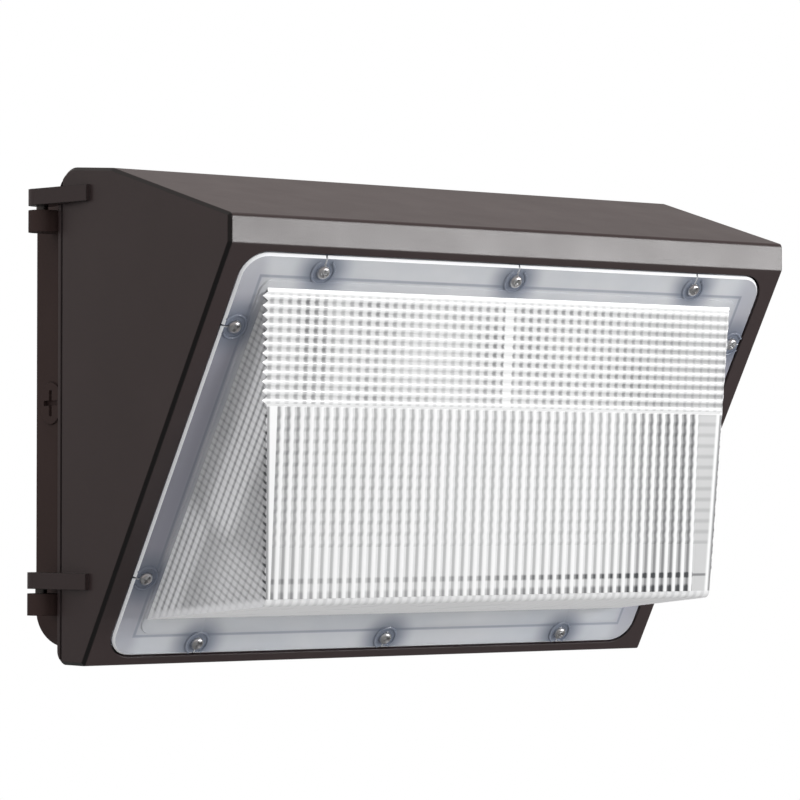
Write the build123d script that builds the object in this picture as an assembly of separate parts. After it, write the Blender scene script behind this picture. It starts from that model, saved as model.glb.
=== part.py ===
from build123d import *
import math
import os

# Outdoor wall light: a rear box on the wall, a hooded front housing hinged to its left side,
# and a clear prismatic lens in the housing's sloping front. Millimetres, wall at y = 0,
# front towards -Y, +Z up, origin at the centre of the wall face.

# Front housing (door): outline in side view, depths measured from the wall
door_width = 360.0
door_height = 249.0
rim_depth = 32.0
ridge_depth = 81.0
ridge_drop = 4.0
brow_depth = 181.0
brow_drop = 32.5
brow_height = 14.0
sill_depth = 56.5
side_draft = 0.04
door_wall = 3.5
bezel_wall = 10.0
ledge_thick = 6.0
ledge_width = 14.0
rear_top_round = 15.0
rear_bottom_round = 7.0
ridge_round = 12.0
edge_round = 2.0
side_bevel = 1.6
rim_lip = 4.0
rim_groove_wide = 1.6
rim_groove_deep = 0.8

# Rear box
box_overhang = 7.3
box_drop = 6.5
box_corner = 20.0
box_wall = 3.5
box_floor = 4.0
seam_gap = 2.0

# Door seal in a groove of the door's rear ledge
seal_width = 6.0
seal_groove = 2.0

# Hinge on the left, latch screws on the right
hinge_out = 2.5
hinge_depth = 22.0
knuckle_r = 7.0
pin_r = 3.0
pin_fit = 0.05
pin_press = 0.01
knuckle_floor = 2.0
pin_end_gap = 0.15
door_lug_thick = 8.2
box_lug_thick = 11.0
lug_gap = 2.4
lug_reach = 62.0
lug_proud = 2.0
hinge_drop = 20.2
hinge_rise = 36.5
latch_inset = 39.5
latch_out = 7.0
latch_ear_r = 8.5
latch_ear_thick = 12.0
latch_screw_r = 2.5
latch_head_r = 5.0
latch_head_high = 4.0
latch_travel = 10.0
latch_play = 0.5
latch_thread_fit = 0.1
latch_thread_deep = 12.0
ring_r = 4.0
ring_thick = 1.5
ring_room = 0.6
ring_stop_gap = 0.15

# Lens: flange in the bezel's recess, wedge-shaped body hanging below the brow
bezel_side = 11.7
bezel_top = 4.7
bezel_bottom = 5.6
flange_thick = 4.0
flange_corner = 13.0
flange_bevel = 1.2
flange_step = 0.8
step_inset = 13.4
recess_deep = 4.5
recess_gap = 1.0
lens_gasket_thick = 1.0
lens_side_inset = 15.5
lens_crown_inset = 17.5
lens_top_inset = 15.2
lens_base_inset = 21.5
lens_lean = 10.5
lens_floor = 31.3
lens_nose_taper = 11.7
lens_wall = 3.0
opening_gap = 2.0
opening_corner = 6.0
cross_count = 12
cross_spacing = 4.78
flute_spacing = 5.6
column_spacing = 5.27
centre_strip = 6.5
inner_row_spacing = 6.0
side_rib_spacing = 6.0
rib_high = 1.3
rib_sides = 4
inner_rib_high = 0.9
inner_rib_sides = 2
rib_root = 0.5
rib_margin = 0.6
rib_overrun = 0.8

# Lens screws
lens_screw_r = 2.0
lens_head_r = 4.3
lens_head_high = 2.6
lens_screw_inset = 8.5
lens_screw_low = 6.8
lens_screw_spread = 116.5
lens_screw_tip = 8.5
side_screw_high = 193.5
side_screw_low = 51.6
screw_sides = 6
head_sides = 8
screw_slit = 2.0
screw_play = 0.4
thread_fit = 0.05
boss_side = 10.0

# Conduit plugs in the rear box's sides
conduit_r = 10.6
conduit_fit = 0.08
conduit_depth = 15.0
conduit_level = 6.5
conduit_hub = 2.0
plug_long = 11.0
plug_proud = 0.8
plug_cross = 13.0
plug_slot = 2.6
plug_slot_deep = 2.0

# LED plate, reflector pan and boards, stacked behind the lens
plate_back = 26.0
plate_thick = 3.0
plate_margin = 34.0
plate_edge = 5.0
plate_screw_levels = (85.0, 158.0)
plate_screw_r = 2.0
plate_head_r = 3.8
plate_head_high = 2.4
plate_screw_long = 12.0
pan_sheet = 1.0
pan_gap = 2.0
pan_flare = 10.0
board_high = 128.0
board_thick = 1.6
board_between = 6.0
board_gap = 1.5
led_size = 3.5
led_high = 0.8
led_column_count = 4
led_row_count = 6
led_spacing_u = 17.0
led_spacing_v = 18.0
board_screw_r = 1.5
board_head_r = 2.7
board_head_high = 1.6
board_screw_edge = 5.0
board_screw_tip = 2.0
plug_block = (12.0, 6.0, 5.0)

# Rear box fittings
wall_hole_r = 3.5
wall_hole_x = 130.0
wall_hole_z = 75.0
box_hole_r = 2.6
box_hole_spread = 88.9
entry_r = 11.1
driver_long = 140.0
driver_wide = 44.0
driver_high = 25.0
driver_side_gap = 3.2
driver_z = -38.0
driver_bevel = 2.0
driver_foot = 12.0
driver_foot_thick = 2.0
driver_cap = 4.0
fixing_r = 2.0
fixing_head_r = 3.8
fixing_head_high = 2.4
fixing_pad = 10.0
fixing_pad_high = 3.0
fixing_tip = 2.5
terminal_x = -95.0
terminal_z = -48.0
terminal_count = 3
terminal_spacing = 10.0
terminal_end = 9.0
terminal_wide = 20.0
terminal_high = 15.0
terminal_step = 6.0
terminal_wall = 1.0
clamp_r = 2.4
clamp_high = 1.2
ground_x = -50.0
ground_z = -72.0

# Overrun of cutting pieces past the faces they cut
cut_over = 1.0

# Values that follow from the sizes above
top_z = door_height / 2
box_half_w = door_width / 2 - box_overhang
box_half_h = door_height / 2 - box_drop
box_depth = rim_depth - seam_gap
hinge_x = -(door_width / 2 + hinge_out)
hinge_y = -hinge_depth
hinge_levels = {"upper": top_z - hinge_drop, "lower": hinge_rise - top_z}
latch_levels = {"upper": top_z - latch_inset, "lower": latch_inset - top_z}
latch_x = door_width / 2 + latch_out
slope_rise = door_height - brow_drop - brow_height
slope_run = brow_depth - sill_depth
slope_long = math.hypot(slope_rise, slope_run)
slope_cos = slope_rise / slope_long
slope_sin = slope_run / slope_long

# Sloping bezel plane: local x is +X, local y runs up the slope, local z points out of the front
bezel = Plane(origin=(0, -sill_depth, -top_z), x_dir=(1, 0, 0), z_dir=(0, -slope_cos, -slope_sin))


def half_width(depth):
    """Door half width at a depth from the wall: both sides draw in towards the front."""
    return door_width / 2 - side_draft * (depth - rim_depth)


def bezel_half(v):
    """Door half width on the bezel, at a height v up the slope."""
    return half_width(sill_depth + v * slope_sin)


def outline(points, radii):
    """Closed face in the XY plane, each corner rounded by its own radius."""
    return make_face(FilletPolyline(*points, radius=radii, close=True).edges())


def meet(first, second):
    """Point where two lines, each a start and a run, cross in the plane."""
    (p, d), (q, e) = first, second
    step = ((q.X - p.X) * e.Y - (q.Y - p.Y) * e.X) / (d.X * e.Y - d.Y * e.X)
    return p.X + d.X * step, p.Y + d.Y * step


def inset(points, offsets):
    """Counter-clockwise outline with each edge moved inwards by its own offset."""
    lines = []
    for i, offset in enumerate(offsets):
        start = Vector(*points[i])
        run = (Vector(*points[(i + 1) % len(points)]) - start).normalized()
        lines.append((start + Vector(-run.Y, run.X) * offset, run))
    return [meet(lines[i - 1], lines[i]) for i in range(len(lines))]


def side_plane(sign, inward=0.0):
    """Plane of the door's side wall, facing outwards."""
    normal = Vector(sign, -side_draft, 0).normalized()
    base = Vector(sign * door_width / 2, -rim_depth, 0) - normal * inward
    return Plane(origin=base, z_dir=normal)


def between_sides(solid, inward=0.0):
    """Part of a solid between the door's two drafted sides."""
    for sign in (1, -1):
        solid = split(solid, bisect_by=side_plane(sign, inward), keep=Keep.BOTTOM)
    return solid


def across(face):
    """Side-view face extruded across the whole width and a little more."""
    return extrude(Plane.YZ * face, amount=door_width / 2 + lug_reach, both=True)


def slope_trapezoid(side, top, bottom, corner=0):
    """Outline on the bezel, following the door's draft at a margin from its edges."""
    low, high = bottom, slope_long - top
    wide, narrow = bezel_half(low) - side, bezel_half(high) - side
    points = [(-wide, low), (wide, low), (narrow, high), (-narrow, high)]
    return outline(points, [corner] * 4) if corner else make_face(Polyline(*points, close=True))


def on_bezel(face, low, high):
    """Face on the bezel extruded between two heights along the bezel's normal."""
    return extrude(bezel * Pos(0, 0, low) * face, amount=high - low)


def bezel_peg(u, v, radius, low, high, sides=screw_sides):
    """Small screw piece, or its hole, standing on the bezel's normal, round enough in a few flats."""
    return on_bezel(Pos(u, v) * RegularPolygon(radius, sides, major_radius=False), low, high)


def wall_peg(x, z, radius, near, far, sides=screw_sides):
    """Small screw piece, or its hole, along Y between two depths from the wall."""
    plane = Plane(origin=(x, -near, z), x_dir=(1, 0, 0), z_dir=(0, -1, 0))
    return extrude(plane * RegularPolygon(radius, sides, major_radius=False), amount=far - near)


def wall_disc(x, z, radius, near, far):
    """Round piece along Y between two depths from the wall."""
    plane = Plane(origin=(x, -near, z), x_dir=(1, 0, 0), z_dir=(0, -1, 0))
    return extrude(plane * Circle(radius), amount=far - near)


def upright_disc(x, y, radius, low, high):
    """Round piece along Z between two levels."""
    return extrude(Pos(x, y, low) * Circle(radius), amount=high - low)


def wall_block(width, height, corner, near, far):
    """Rounded rectangle round the middle of the wall face, between two depths from the wall."""
    plane = Plane(origin=(0, -near, 0), x_dir=(1, 0, 0), z_dir=(0, -1, 0))
    return extrude(plane * RectangleRounded(width, height, corner), amount=far - near)


# Places that several pieces share
flange_low = bezel_bottom
flange_high = slope_long - bezel_top
flange_base = lens_gasket_thick - recess_deep
flange_top = flange_base + flange_thick
side_screw_rows = (side_screw_low, side_screw_high)


def lens_screw_places():
    """Places of the lens screws on the bezel, with the way out to the nearest flange edge."""
    places = []
    for u in (-lens_screw_spread, 0, lens_screw_spread):
        places.append((u, flange_high - lens_screw_inset, 0, 1))
        places.append((u, flange_low + lens_screw_low, 0, -1))
    for v in side_screw_rows:
        u = bezel_half(v) - bezel_side - lens_screw_low
        places.append((-u, v, -1, 0))
        places.append((u, v, 1, 0))
    return places


def plate_screw_places():
    """Places of the LED plate's screws on the bezel, in line with the side screws."""
    u = bezel_half(side_screw_high) - bezel_side - lens_screw_low
    return [(sign * u, v) for v in plate_screw_levels for sign in (-1, 1)]


def knuckle_levels(level):
    """Bottom of the box knuckle, its top, and the door lug's bottom and top."""
    box_top = level - lug_gap / 2
    lug_bottom = level + lug_gap / 2
    return box_top - box_lug_thick, box_top, lug_bottom, lug_bottom + door_lug_thick


def lens_opening():
    """Opening in the bezel behind the lens."""
    return slope_trapezoid(bezel_side + lens_side_inset - opening_gap, bezel_top + lens_top_inset - opening_gap,
                           bezel_bottom + lens_base_inset - opening_gap, opening_corner)


def latch_hole(radius, near, far):
    """Both latch screw holes as one cutting piece."""
    return [wall_peg(latch_x, z, radius, near, far, head_sides) for z in latch_levels.values()]


# Front housing

brow_top = top_z - brow_drop
door_points = [(-rim_depth, top_z), (-ridge_depth, top_z - ridge_drop), (-brow_depth, brow_top),
               (-brow_depth, brow_top - brow_height), (-sill_depth, -top_z), (-rim_depth, -top_z)]
door_rounds = [rear_top_round, ridge_round, edge_round, edge_round, edge_round, rear_bottom_round]


def door_hollow():
    """Space inside the hood: under the roof, behind the bezel and the brow, in front of the ledge."""
    ridge, brow_high, brow_low, sill = [Vector(*point) for point in door_points[1:5]]
    tip = meet((ridge, brow_high - ridge), (sill, brow_low - sill))
    corners = [door_points[0], door_points[1], tip, door_points[4], door_points[5]]
    face = make_face(Polyline(*inset(corners, [door_wall, door_wall, bezel_wall, door_wall, ledge_thick]),
                              close=True))
    behind_brow = Pos(door_wall - brow_depth / 2, 0) * Rectangle(brow_depth, 2 * door_height)
    return between_sides(across(face & behind_brow), door_wall)


def rim_groove():
    """Narrow groove down both sides of the door, beside the lip at its rear edge."""
    near = rim_depth + rim_lip
    slab = wall_block(door_width + door_wall, door_height, door_wall, near, near + rim_groove_wide)
    return slab - between_sides(slab, rim_groove_deep)


def door_shell():
    """Hood with bevelled side edges, hollow, open at the back inside its ledge."""
    shell = between_sides(across(outline(door_points, door_rounds)))
    for end in (0, -1):
        shell = chamfer(shell.faces().sort_by(Axis.X)[end].edges(), side_bevel)
    shell -= [door_hollow(), rim_groove()]
    mouth_w = door_width - 2 * ledge_width
    mouth_h = door_height - 2 * ledge_width
    return shell - wall_block(mouth_w, mouth_h, box_corner, 0, rim_depth + 2 * ledge_thick)


def seal_ring(near, far):
    """Band along the edge of the rear box, between two depths."""
    middle = box_wall / 2
    half = seal_width / 2
    outer = wall_block(2 * (box_half_w - middle + half), 2 * (box_half_h - middle + half),
                       box_corner - middle + half, near, far)
    inner = wall_block(2 * (box_half_w - middle - half), 2 * (box_half_h - middle - half),
                       box_corner - middle - half, near, far)
    return outer - inner


def door_lug(low, high):
    """Hinge lug on the door's side: a flat arm running back to a round knuckle."""
    front = half_width(lug_reach)
    arm = make_face(Polyline((hinge_x - knuckle_r, hinge_y), (-front - lug_proud, -lug_reach),
                             (-front + door_wall / 2, -lug_reach),
                             (-half_width(rim_depth) + door_wall / 2, -rim_depth - ledge_thick / 2),
                             (hinge_x + knuckle_r, hinge_y), close=True))
    plan = arm + Pos(hinge_x, hinge_y) * Circle(knuckle_r)
    return extrude(Pos(0, 0, low) * plan, amount=high - low)


def latch_ear(z, root, near, far):
    """Rounded ear on the right side that a latch screw passes through."""
    plane = Plane(origin=(0, -near, 0), x_dir=(1, 0, 0), z_dir=(0, -1, 0))
    stem = latch_x - root
    plan = Pos(latch_x, -z) * Circle(latch_ear_r)
    plan += Pos(root + stem / 2, -z) * Rectangle(stem, 2 * latch_ear_r)
    return extrude(plane * plan, amount=far - near)


def front_housing():
    body = door_shell()
    for u, v in plate_screw_places():
        body += on_bezel(Pos(u, v) * Rectangle(boss_side, boss_side), -plate_back, -bezel_wall / 2)
    for level in hinge_levels.values():
        _, _, low, high = knuckle_levels(level)
        body += door_lug(low, high)
        body -= upright_disc(hinge_x, hinge_y, pin_r + pin_press, low - cut_over, high + cut_over)
    ear_root = half_width(rim_depth + latch_ear_thick) - door_wall / 2
    for z in latch_levels.values():
        body += latch_ear(z, ear_root, rim_depth, rim_depth + latch_ear_thick)
    body -= latch_hole(latch_screw_r + latch_play, 0, rim_depth + latch_ear_thick + cut_over)
    body -= seal_ring(rim_depth - cut_over, rim_depth + seal_groove)
    recess = slope_trapezoid(bezel_side - recess_gap, bezel_top - recess_gap,
                             bezel_bottom - recess_gap, flange_corner + recess_gap)
    body -= on_bezel(recess, -recess_deep, bezel_wall)
    body -= on_bezel(lens_opening(), -2 * bezel_wall, bezel_wall)
    for u, v, _, _ in lens_screw_places():
        body -= bezel_peg(u, v, lens_screw_r + thread_fit, -lens_screw_tip - thread_fit, 0)
    for u, v in plate_screw_places():
        body -= bezel_peg(u, v, plate_screw_r + thread_fit, -plate_back,
                          plate_screw_long + thread_fit - plate_back)
    return body


def door_seal():
    return seal_ring(box_depth, rim_depth + seal_groove)


def hinge_pin(level):
    """Pin pressed in the door's lug, standing on the floor of the box knuckle's blind bore."""
    low, _, _, high = knuckle_levels(level)
    return upright_disc(hinge_x, hinge_y, pin_r, low + knuckle_floor + pin_end_gap, high)


# Lens

lens_low = flange_low + lens_base_inset
lens_high = flange_high - lens_top_inset


def on_slope(v):
    """Side-view point on the bezel plane, as (y, z)."""
    return -sill_depth - v * slope_sin, -top_z + v * slope_cos


lens_top = on_slope(lens_high)
lens_root = on_slope(lens_low)
lens_nose = (lens_top[0] + lens_lean, -top_z + lens_floor)
lens_points = [lens_top, lens_nose, lens_root]
base_half = bezel_half(lens_low) - bezel_side - lens_side_inset
top_half = bezel_half(lens_high) - bezel_side - lens_crown_inset
nose_half = base_half - lens_nose_taper
face_long = math.hypot(lens_nose[0] - lens_top[0], lens_nose[1] - lens_top[1])
face_cos = (lens_top[1] - lens_nose[1]) / face_long
face_sin = (lens_nose[0] - lens_top[0]) / face_long
face_out = Vector(0, -face_cos, -face_sin)
face_down = Vector(0, face_sin, -face_cos)
face_top = Vector(0, *lens_top)
face_turn = math.atan2(slope_sin, slope_cos) + math.atan2(face_sin, face_cos)
cross_start = (flange_top + flange_step) / math.sin(face_turn)
cross_zone = cross_start + cross_count * cross_spacing


def lens_side_plane(sign, inward=0.0):
    """Plane of the lens's side wall, through its three corners, facing outwards."""
    root = Vector(sign * base_half, *lens_root)
    top = Vector(sign * top_half, *lens_top)
    nose = Vector(sign * nose_half, *lens_nose)
    normal = (top - root).cross(nose - root).normalized()
    if normal.X * sign < 0:
        normal = normal * -1
    return Plane(origin=root - normal * inward, x_dir=(top - root).normalized(), z_dir=normal)


def between_lens_sides(solid, inward=0.0):
    """Part of a solid between the lens's two side walls."""
    for sign in (1, -1):
        solid = split(solid, bisect_by=lens_side_plane(sign, inward), keep=Keep.BOTTOM)
    return solid


def wedge(skin, back):
    """Lens wedge drawn in by a skin thickness, its open side moved back."""
    points = inset(lens_points, [skin, skin, -back])
    return between_lens_sides(across(make_face(Polyline(*points, close=True))), skin)


def scallops(start, pitch, count, root, crest, sides=rib_sides):
    """Row of rounded ribs along local x, from a flat root to their crests in local y."""
    steps = range(count * sides + 1)
    points = [(start + i * pitch / sides, crest * math.sin(math.pi * (i % sides) / sides)) for i in steps]
    end = start + count * pitch
    return make_face(Polyline(*points, (end, root), (start, root), close=True))


def flutes():
    """Upright ribs on the lower part of the lens's face."""
    start = face_top + face_down * cross_zone
    count = math.floor(2 * (top_half - rib_margin) / flute_spacing)
    plane = Plane(origin=start, x_dir=(1, 0, 0), z_dir=face_down)
    ribs = scallops(-count * flute_spacing / 2, flute_spacing, count, -rib_root, rib_high)
    solid = extrude(plane * ribs, amount=face_long - cross_zone - rib_margin)
    return between_lens_sides(solid, rib_margin)


def cross_ribs():
    """Level ribs across the upper part of the lens's face."""
    plane = Plane(origin=face_top, x_dir=face_down, z_dir=(-1, 0, 0))
    ribs = scallops(cross_start, cross_spacing, cross_count, -rib_root, rib_high)
    solid = extrude(plane * ribs, amount=door_width / 2, both=True)
    return between_lens_sides(solid, -rib_overrun)


def inner_columns():
    """Upright ribs behind the level ribs, in two halves beside a smooth centre bar."""
    first = cross_start + 2 * cross_spacing
    start = face_top - face_out * lens_wall + face_down * first
    plane = Plane(origin=start, x_dir=(1, 0, 0), z_dir=face_down)
    room = top_half - 2 * lens_wall - centre_strip / 2
    count = math.floor(room / column_spacing)
    solids = []
    for begin in (centre_strip / 2, -centre_strip / 2 - count * column_spacing):
        ribs = scallops(begin, column_spacing, count, rib_root, -inner_rib_high, inner_rib_sides)
        solid = extrude(plane * ribs, amount=cross_zone - first)
        solids.append(between_lens_sides(solid, lens_wall + rib_margin))
    return solids


def inner_rows():
    """Level ribs behind the flutes."""
    room = face_long - cross_zone - 3 * lens_wall
    count = math.floor(room / inner_row_spacing)
    start = face_top - face_out * lens_wall + face_down * (cross_zone + lens_wall)
    plane = Plane(origin=start, x_dir=face_down, z_dir=(-1, 0, 0))
    ribs = scallops(0, inner_row_spacing, count, rib_root, -inner_rib_high, inner_rib_sides)
    solid = extrude(plane * ribs, amount=door_width / 2, both=True)
    return between_lens_sides(solid, lens_wall + rib_margin)


def side_ribs(sign):
    """Ribs on the lens's side wall, running along the flange."""
    plane = lens_side_plane(sign)
    reach = (lens_nose[0] - lens_root[0], lens_nose[1] - lens_root[1])
    room = abs(reach[0] * slope_cos + reach[1] * slope_sin) - flange_top
    count = math.floor(room / side_rib_spacing)
    away = plane.z_dir.cross(plane.x_dir) * sign
    across_ribs = Plane(origin=plane.origin, x_dir=away, z_dir=plane.x_dir * sign)
    ribs = scallops(flange_top, side_rib_spacing, count, -rib_root, rib_high)
    solid = extrude(across_ribs * ribs, amount=slope_long, both=True)
    points = inset(lens_points, [lens_wall / 2, lens_wall / 2, -lens_wall])
    return solid & across(make_face(Polyline(*points, close=True)))


def lens_flange():
    """Flat flange with a bevelled edge and a step round the wedge."""
    plate = on_bezel(slope_trapezoid(bezel_side, bezel_top, bezel_bottom, flange_corner),
                     flange_base, flange_top)
    face = plate.faces().sort_by(lambda f: (f.center() - bezel.origin).dot(bezel.z_dir))[-1]
    plate = chamfer(face.edges(), flange_bevel)
    step = slope_trapezoid(bezel_side + step_inset, bezel_top + step_inset,
                           bezel_bottom + step_inset, opening_corner)
    return plate + on_bezel(step, flange_base, flange_top + flange_step)


def screw_slit_cut(u, v, du, dv):
    """Narrow slit from a screw hole out past the flange's edge."""
    reach = 2 * lens_screw_inset
    size = (reach, screw_slit) if du else (screw_slit, reach)
    face = Pos(u + du * reach / 2, v + dv * reach / 2) * Rectangle(*size)
    return on_bezel(face, flange_base - cut_over, flange_top + flange_step + cut_over)


def lens():
    body = lens_flange() + wedge(0, recess_deep)
    body -= wedge(lens_wall, 2 * recess_deep)
    body += [flutes(), cross_ribs(), inner_rows(), side_ribs(1), side_ribs(-1)] + inner_columns()
    body -= on_bezel(Rectangle(2 * door_width, 4 * door_height), flange_base - 4 * recess_deep, flange_base)
    for u, v, du, dv in lens_screw_places():
        body -= bezel_peg(u, v, lens_screw_r + screw_play, flange_base - cut_over,
                          flange_top + flange_step + cut_over)
        body -= screw_slit_cut(u, v, du, dv)
    return body


def lens_gasket():
    band = slope_trapezoid(bezel_side, bezel_top, bezel_bottom, flange_corner)
    body = on_bezel(band - lens_opening(), -recess_deep, flange_base)
    for u, v, _, _ in lens_screw_places():
        body -= bezel_peg(u, v, lens_screw_r + screw_play, -recess_deep, flange_base)
    return body


def lens_screws():
    screws = []
    for u, v, _, _ in lens_screw_places():
        shank = bezel_peg(u, v, lens_screw_r, -lens_screw_tip, flange_top)
        head = bezel_peg(u, v, lens_head_r, flange_top, flange_top + lens_head_high, head_sides)
        crown = head.faces().sort_by(lambda f: (f.center() - bezel.origin).dot(bezel.z_dir))[-1]
        screws.append(shank + chamfer(crown.edges(), lens_head_high / 3))
    return screws


# LED plate, reflector and boards

boards_v = slope_long / 2
pan_inset = bezel_side + lens_side_inset + pan_gap + pan_flare + pan_sheet
board_spacing = 2 * (bezel_half(lens_high) - pan_inset - board_gap) / 3
board_width = board_spacing - board_between
board_places = {"left": -board_spacing, "middle": 0.0, "right": board_spacing}
board_face = -plate_back + board_thick


def led_plate():
    u = plate_screw_places()[1][0] + plate_edge
    high = slope_long - 2 * plate_margin
    face = Pos(0, boards_v) * Rectangle(2 * u, high)
    plate = on_bezel(face, -plate_back - plate_thick, -plate_back)
    for u, v in plate_screw_places():
        plate -= bezel_peg(u, v, plate_screw_r + screw_play, -plate_back - plate_thick, -plate_back)
    for u, v in board_screw_places():
        plate -= bezel_peg(u, v, board_screw_r + thread_fit, -plate_back - plate_thick, -plate_back)
    return plate


def plate_screws():
    seat = -plate_back - plate_thick
    screws = []
    for u, v in plate_screw_places():
        shank = bezel_peg(u, v, plate_screw_r, seat, -plate_back + plate_screw_long)
        screws.append(shank + bezel_peg(u, v, plate_head_r, seat - plate_head_high, seat))
    return screws


def pan_form(skin, low, high):
    """Flared block between the LED plate and the lens, drawn in by a skin thickness."""
    rim_side = bezel_side + lens_side_inset + pan_gap + skin
    rim = slope_trapezoid(rim_side, bezel_top + lens_top_inset + pan_gap + skin,
                          bezel_bottom + lens_base_inset + pan_gap + skin)
    foot = slope_trapezoid(rim_side + pan_flare, bezel_top + lens_top_inset + pan_gap + pan_flare + skin,
                           bezel_bottom + lens_base_inset + pan_gap + pan_flare + skin)
    return loft([bezel * Pos(0, 0, low) * foot, bezel * Pos(0, 0, high) * rim])


def reflector():
    rim = flange_base - pan_sheet
    pan = pan_form(0, -plate_back, rim) - pan_form(pan_sheet, pan_sheet - plate_back, rim)
    window = Pos(0, boards_v) * Rectangle(2 * board_spacing + board_width + 2 * board_gap,
                                          board_high + 2 * board_gap)
    return pan - on_bezel(window, -plate_back, 2 * pan_sheet - plate_back)


def board_screw_places(only=None):
    """Two screws on each LED board, in opposite corners."""
    du = board_width / 2 - board_screw_edge
    dv = board_high / 2 - board_screw_edge
    centres = [only] if only is not None else board_places.values()
    return [(u + sign * du, boards_v + sign * dv) for u in centres for sign in (-1, 1)]


def led_board(u):
    board = on_bezel(Pos(u, boards_v) * Rectangle(board_width, board_high), -plate_back, board_face)
    for su, sv in board_screw_places(u):
        board -= bezel_peg(su, sv, board_screw_r + screw_play, -plate_back, board_face)
    return board


def led_emitters(u):
    leds = GridLocations(led_spacing_u, led_spacing_v, led_column_count, led_row_count)
    return [on_bezel(Pos(u, boards_v) * spot * Rectangle(led_size, led_size), board_face,
                     board_face + led_high) for spot in leds]


def board_plugs():
    wide, high, tall = plug_block
    v = boards_v + board_high / 2 - high
    return [on_bezel(Pos(u, v) * Rectangle(wide, high), board_face, board_face + tall)
            for u in board_places.values()]


def board_screws():
    screws = []
    for u, v in board_screw_places():
        shank = bezel_peg(u, v, board_screw_r, -plate_back - board_screw_tip, board_face)
        screws.append(shank + bezel_peg(u, v, board_head_r, board_face, board_face + board_head_high))
    return screws


# Rear box and what it holds

driver_x = box_half_w - box_wall - driver_side_gap - driver_foot - driver_long / 2


def fixing_places():
    """Places of the driver's and terminal block's fixing screws on the box's floor."""
    reach = driver_long / 2 + driver_foot / 2
    terminal = terminal_count * terminal_spacing / 2 + terminal_end / 2
    return {"driver": [(driver_x - reach, driver_z), (driver_x + reach, driver_z)],
            "terminal": [(terminal_x - terminal, terminal_z), (terminal_x + terminal, terminal_z)],
            "ground": [(ground_x, ground_z)]}


def box_knuckle(low, high):
    """Hinge knuckle on the box's side."""
    root = -box_half_w + box_wall / 2
    plan = Pos(hinge_x, hinge_y) * Circle(knuckle_r)
    plan += Pos((hinge_x + root) / 2, hinge_y) * Rectangle(root - hinge_x, 2 * knuckle_r)
    return extrude(Pos(0, 0, low) * plan, amount=high - low)


def at_entry(sign, face, start, end):
    """Face at the conduit entry extruded along X, between two distances from the middle."""
    plane = Plane(origin=(sign * start, -conduit_depth, conduit_level), x_dir=(0, 1, 0), z_dir=(sign, 0, 0))
    return extrude(plane * face, amount=end - start)


def back_box():
    body = wall_block(2 * box_half_w, 2 * box_half_h, box_corner, 0, box_depth)
    body -= wall_block(2 * (box_half_w - box_wall), 2 * (box_half_h - box_wall), box_corner - box_wall,
                       box_floor, box_depth)
    inner = box_half_w - plug_long
    for sign in (-1, 1):
        hub = Rectangle(2 * (conduit_r + conduit_hub), 2 * (conduit_r + conduit_hub))
        body += at_entry(sign, hub, inner, box_half_w - box_wall / 2)
        body -= at_entry(sign, Circle(conduit_r + conduit_fit), inner, box_half_w)
    for level in hinge_levels.values():
        low, high, _, _ = knuckle_levels(level)
        body += box_knuckle(low, high)
        body -= upright_disc(hinge_x, hinge_y, pin_r + pin_fit, low + knuckle_floor, high)
    for z in latch_levels.values():
        body += latch_ear(z, box_half_w - box_wall / 2, box_floor, box_depth)
    ring_floor = rim_depth - latch_travel - ring_thick - ring_room
    for z in latch_levels.values():
        body -= wall_peg(latch_x, z, ring_r + ring_room, ring_floor, box_depth, head_sides)
    body -= latch_hole(latch_screw_r + latch_thread_fit, ring_floor - latch_thread_deep - cut_over,
                      ring_floor)
    for spot in GridLocations(2 * wall_hole_x, 2 * wall_hole_z, 2, 2):
        body -= wall_disc(spot.position.X, spot.position.Y, wall_hole_r, 0, box_floor)
    for sign in (-1, 1):
        body -= wall_disc(sign * box_hole_spread / 2, 0, box_hole_r, 0, box_floor)
    body -= wall_disc(0, 0, entry_r, 0, box_floor)
    for places in fixing_places().values():
        for x, z in places:
            pad = Plane(origin=(x, -box_floor / 2, z), x_dir=(1, 0, 0), z_dir=(0, -1, 0))
            body += extrude(pad * Rectangle(fixing_pad, fixing_pad), amount=box_floor / 2 + fixing_pad_high)
            body -= wall_peg(x, z, fixing_r + thread_fit, fixing_tip, box_floor + fixing_pad_high)
    return body


def conduit_plug(sign):
    """Round threaded plug with a cross recess in its outer face."""
    face = box_half_w + plug_proud
    plug = at_entry(sign, Circle(conduit_r), box_half_w - plug_long, face)
    plane = Plane(origin=(sign * face, -conduit_depth, conduit_level), z_dir=(-sign, 0, 0))
    cross = Rectangle(plug_cross, plug_slot) + Rectangle(plug_slot, plug_cross)
    return plug - extrude(plane * cross, amount=plug_slot_deep)


def driver_seat():
    """Depth of the driver's underside, on top of its two pads."""
    return box_floor + fixing_pad_high


def driver_case():
    """LED driver: a closed case on a base plate that ends in two screw feet."""
    seat = driver_seat()
    plane = Plane(origin=(driver_x, -seat, driver_z), x_dir=(1, 0, 0), z_dir=(0, -1, 0))
    case = extrude(plane * Rectangle(driver_long - 2 * driver_cap, driver_wide), amount=driver_high)
    case = chamfer(case.edges().filter_by(Axis.X), driver_bevel)
    foot = Rectangle(driver_long + 2 * driver_foot, driver_foot)
    case += extrude(plane * foot, amount=driver_foot_thick)
    for x, z in fixing_places()["driver"]:
        case -= wall_peg(x, z, fixing_r + screw_play, seat, seat + driver_foot_thick)
    return case


def driver_end(sign):
    """Moulded end cap of the driver, over the base plate."""
    seat = driver_seat()
    middle = driver_x + sign * (driver_long - driver_cap) / 2
    plane = Plane(origin=(middle, -seat, driver_z), x_dir=(1, 0, 0), z_dir=(0, -1, 0))
    cap = extrude(plane * Rectangle(driver_cap, driver_wide), amount=driver_high)
    return cap - extrude(plane * Rectangle(driver_cap, driver_foot), amount=driver_foot_thick)


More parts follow.
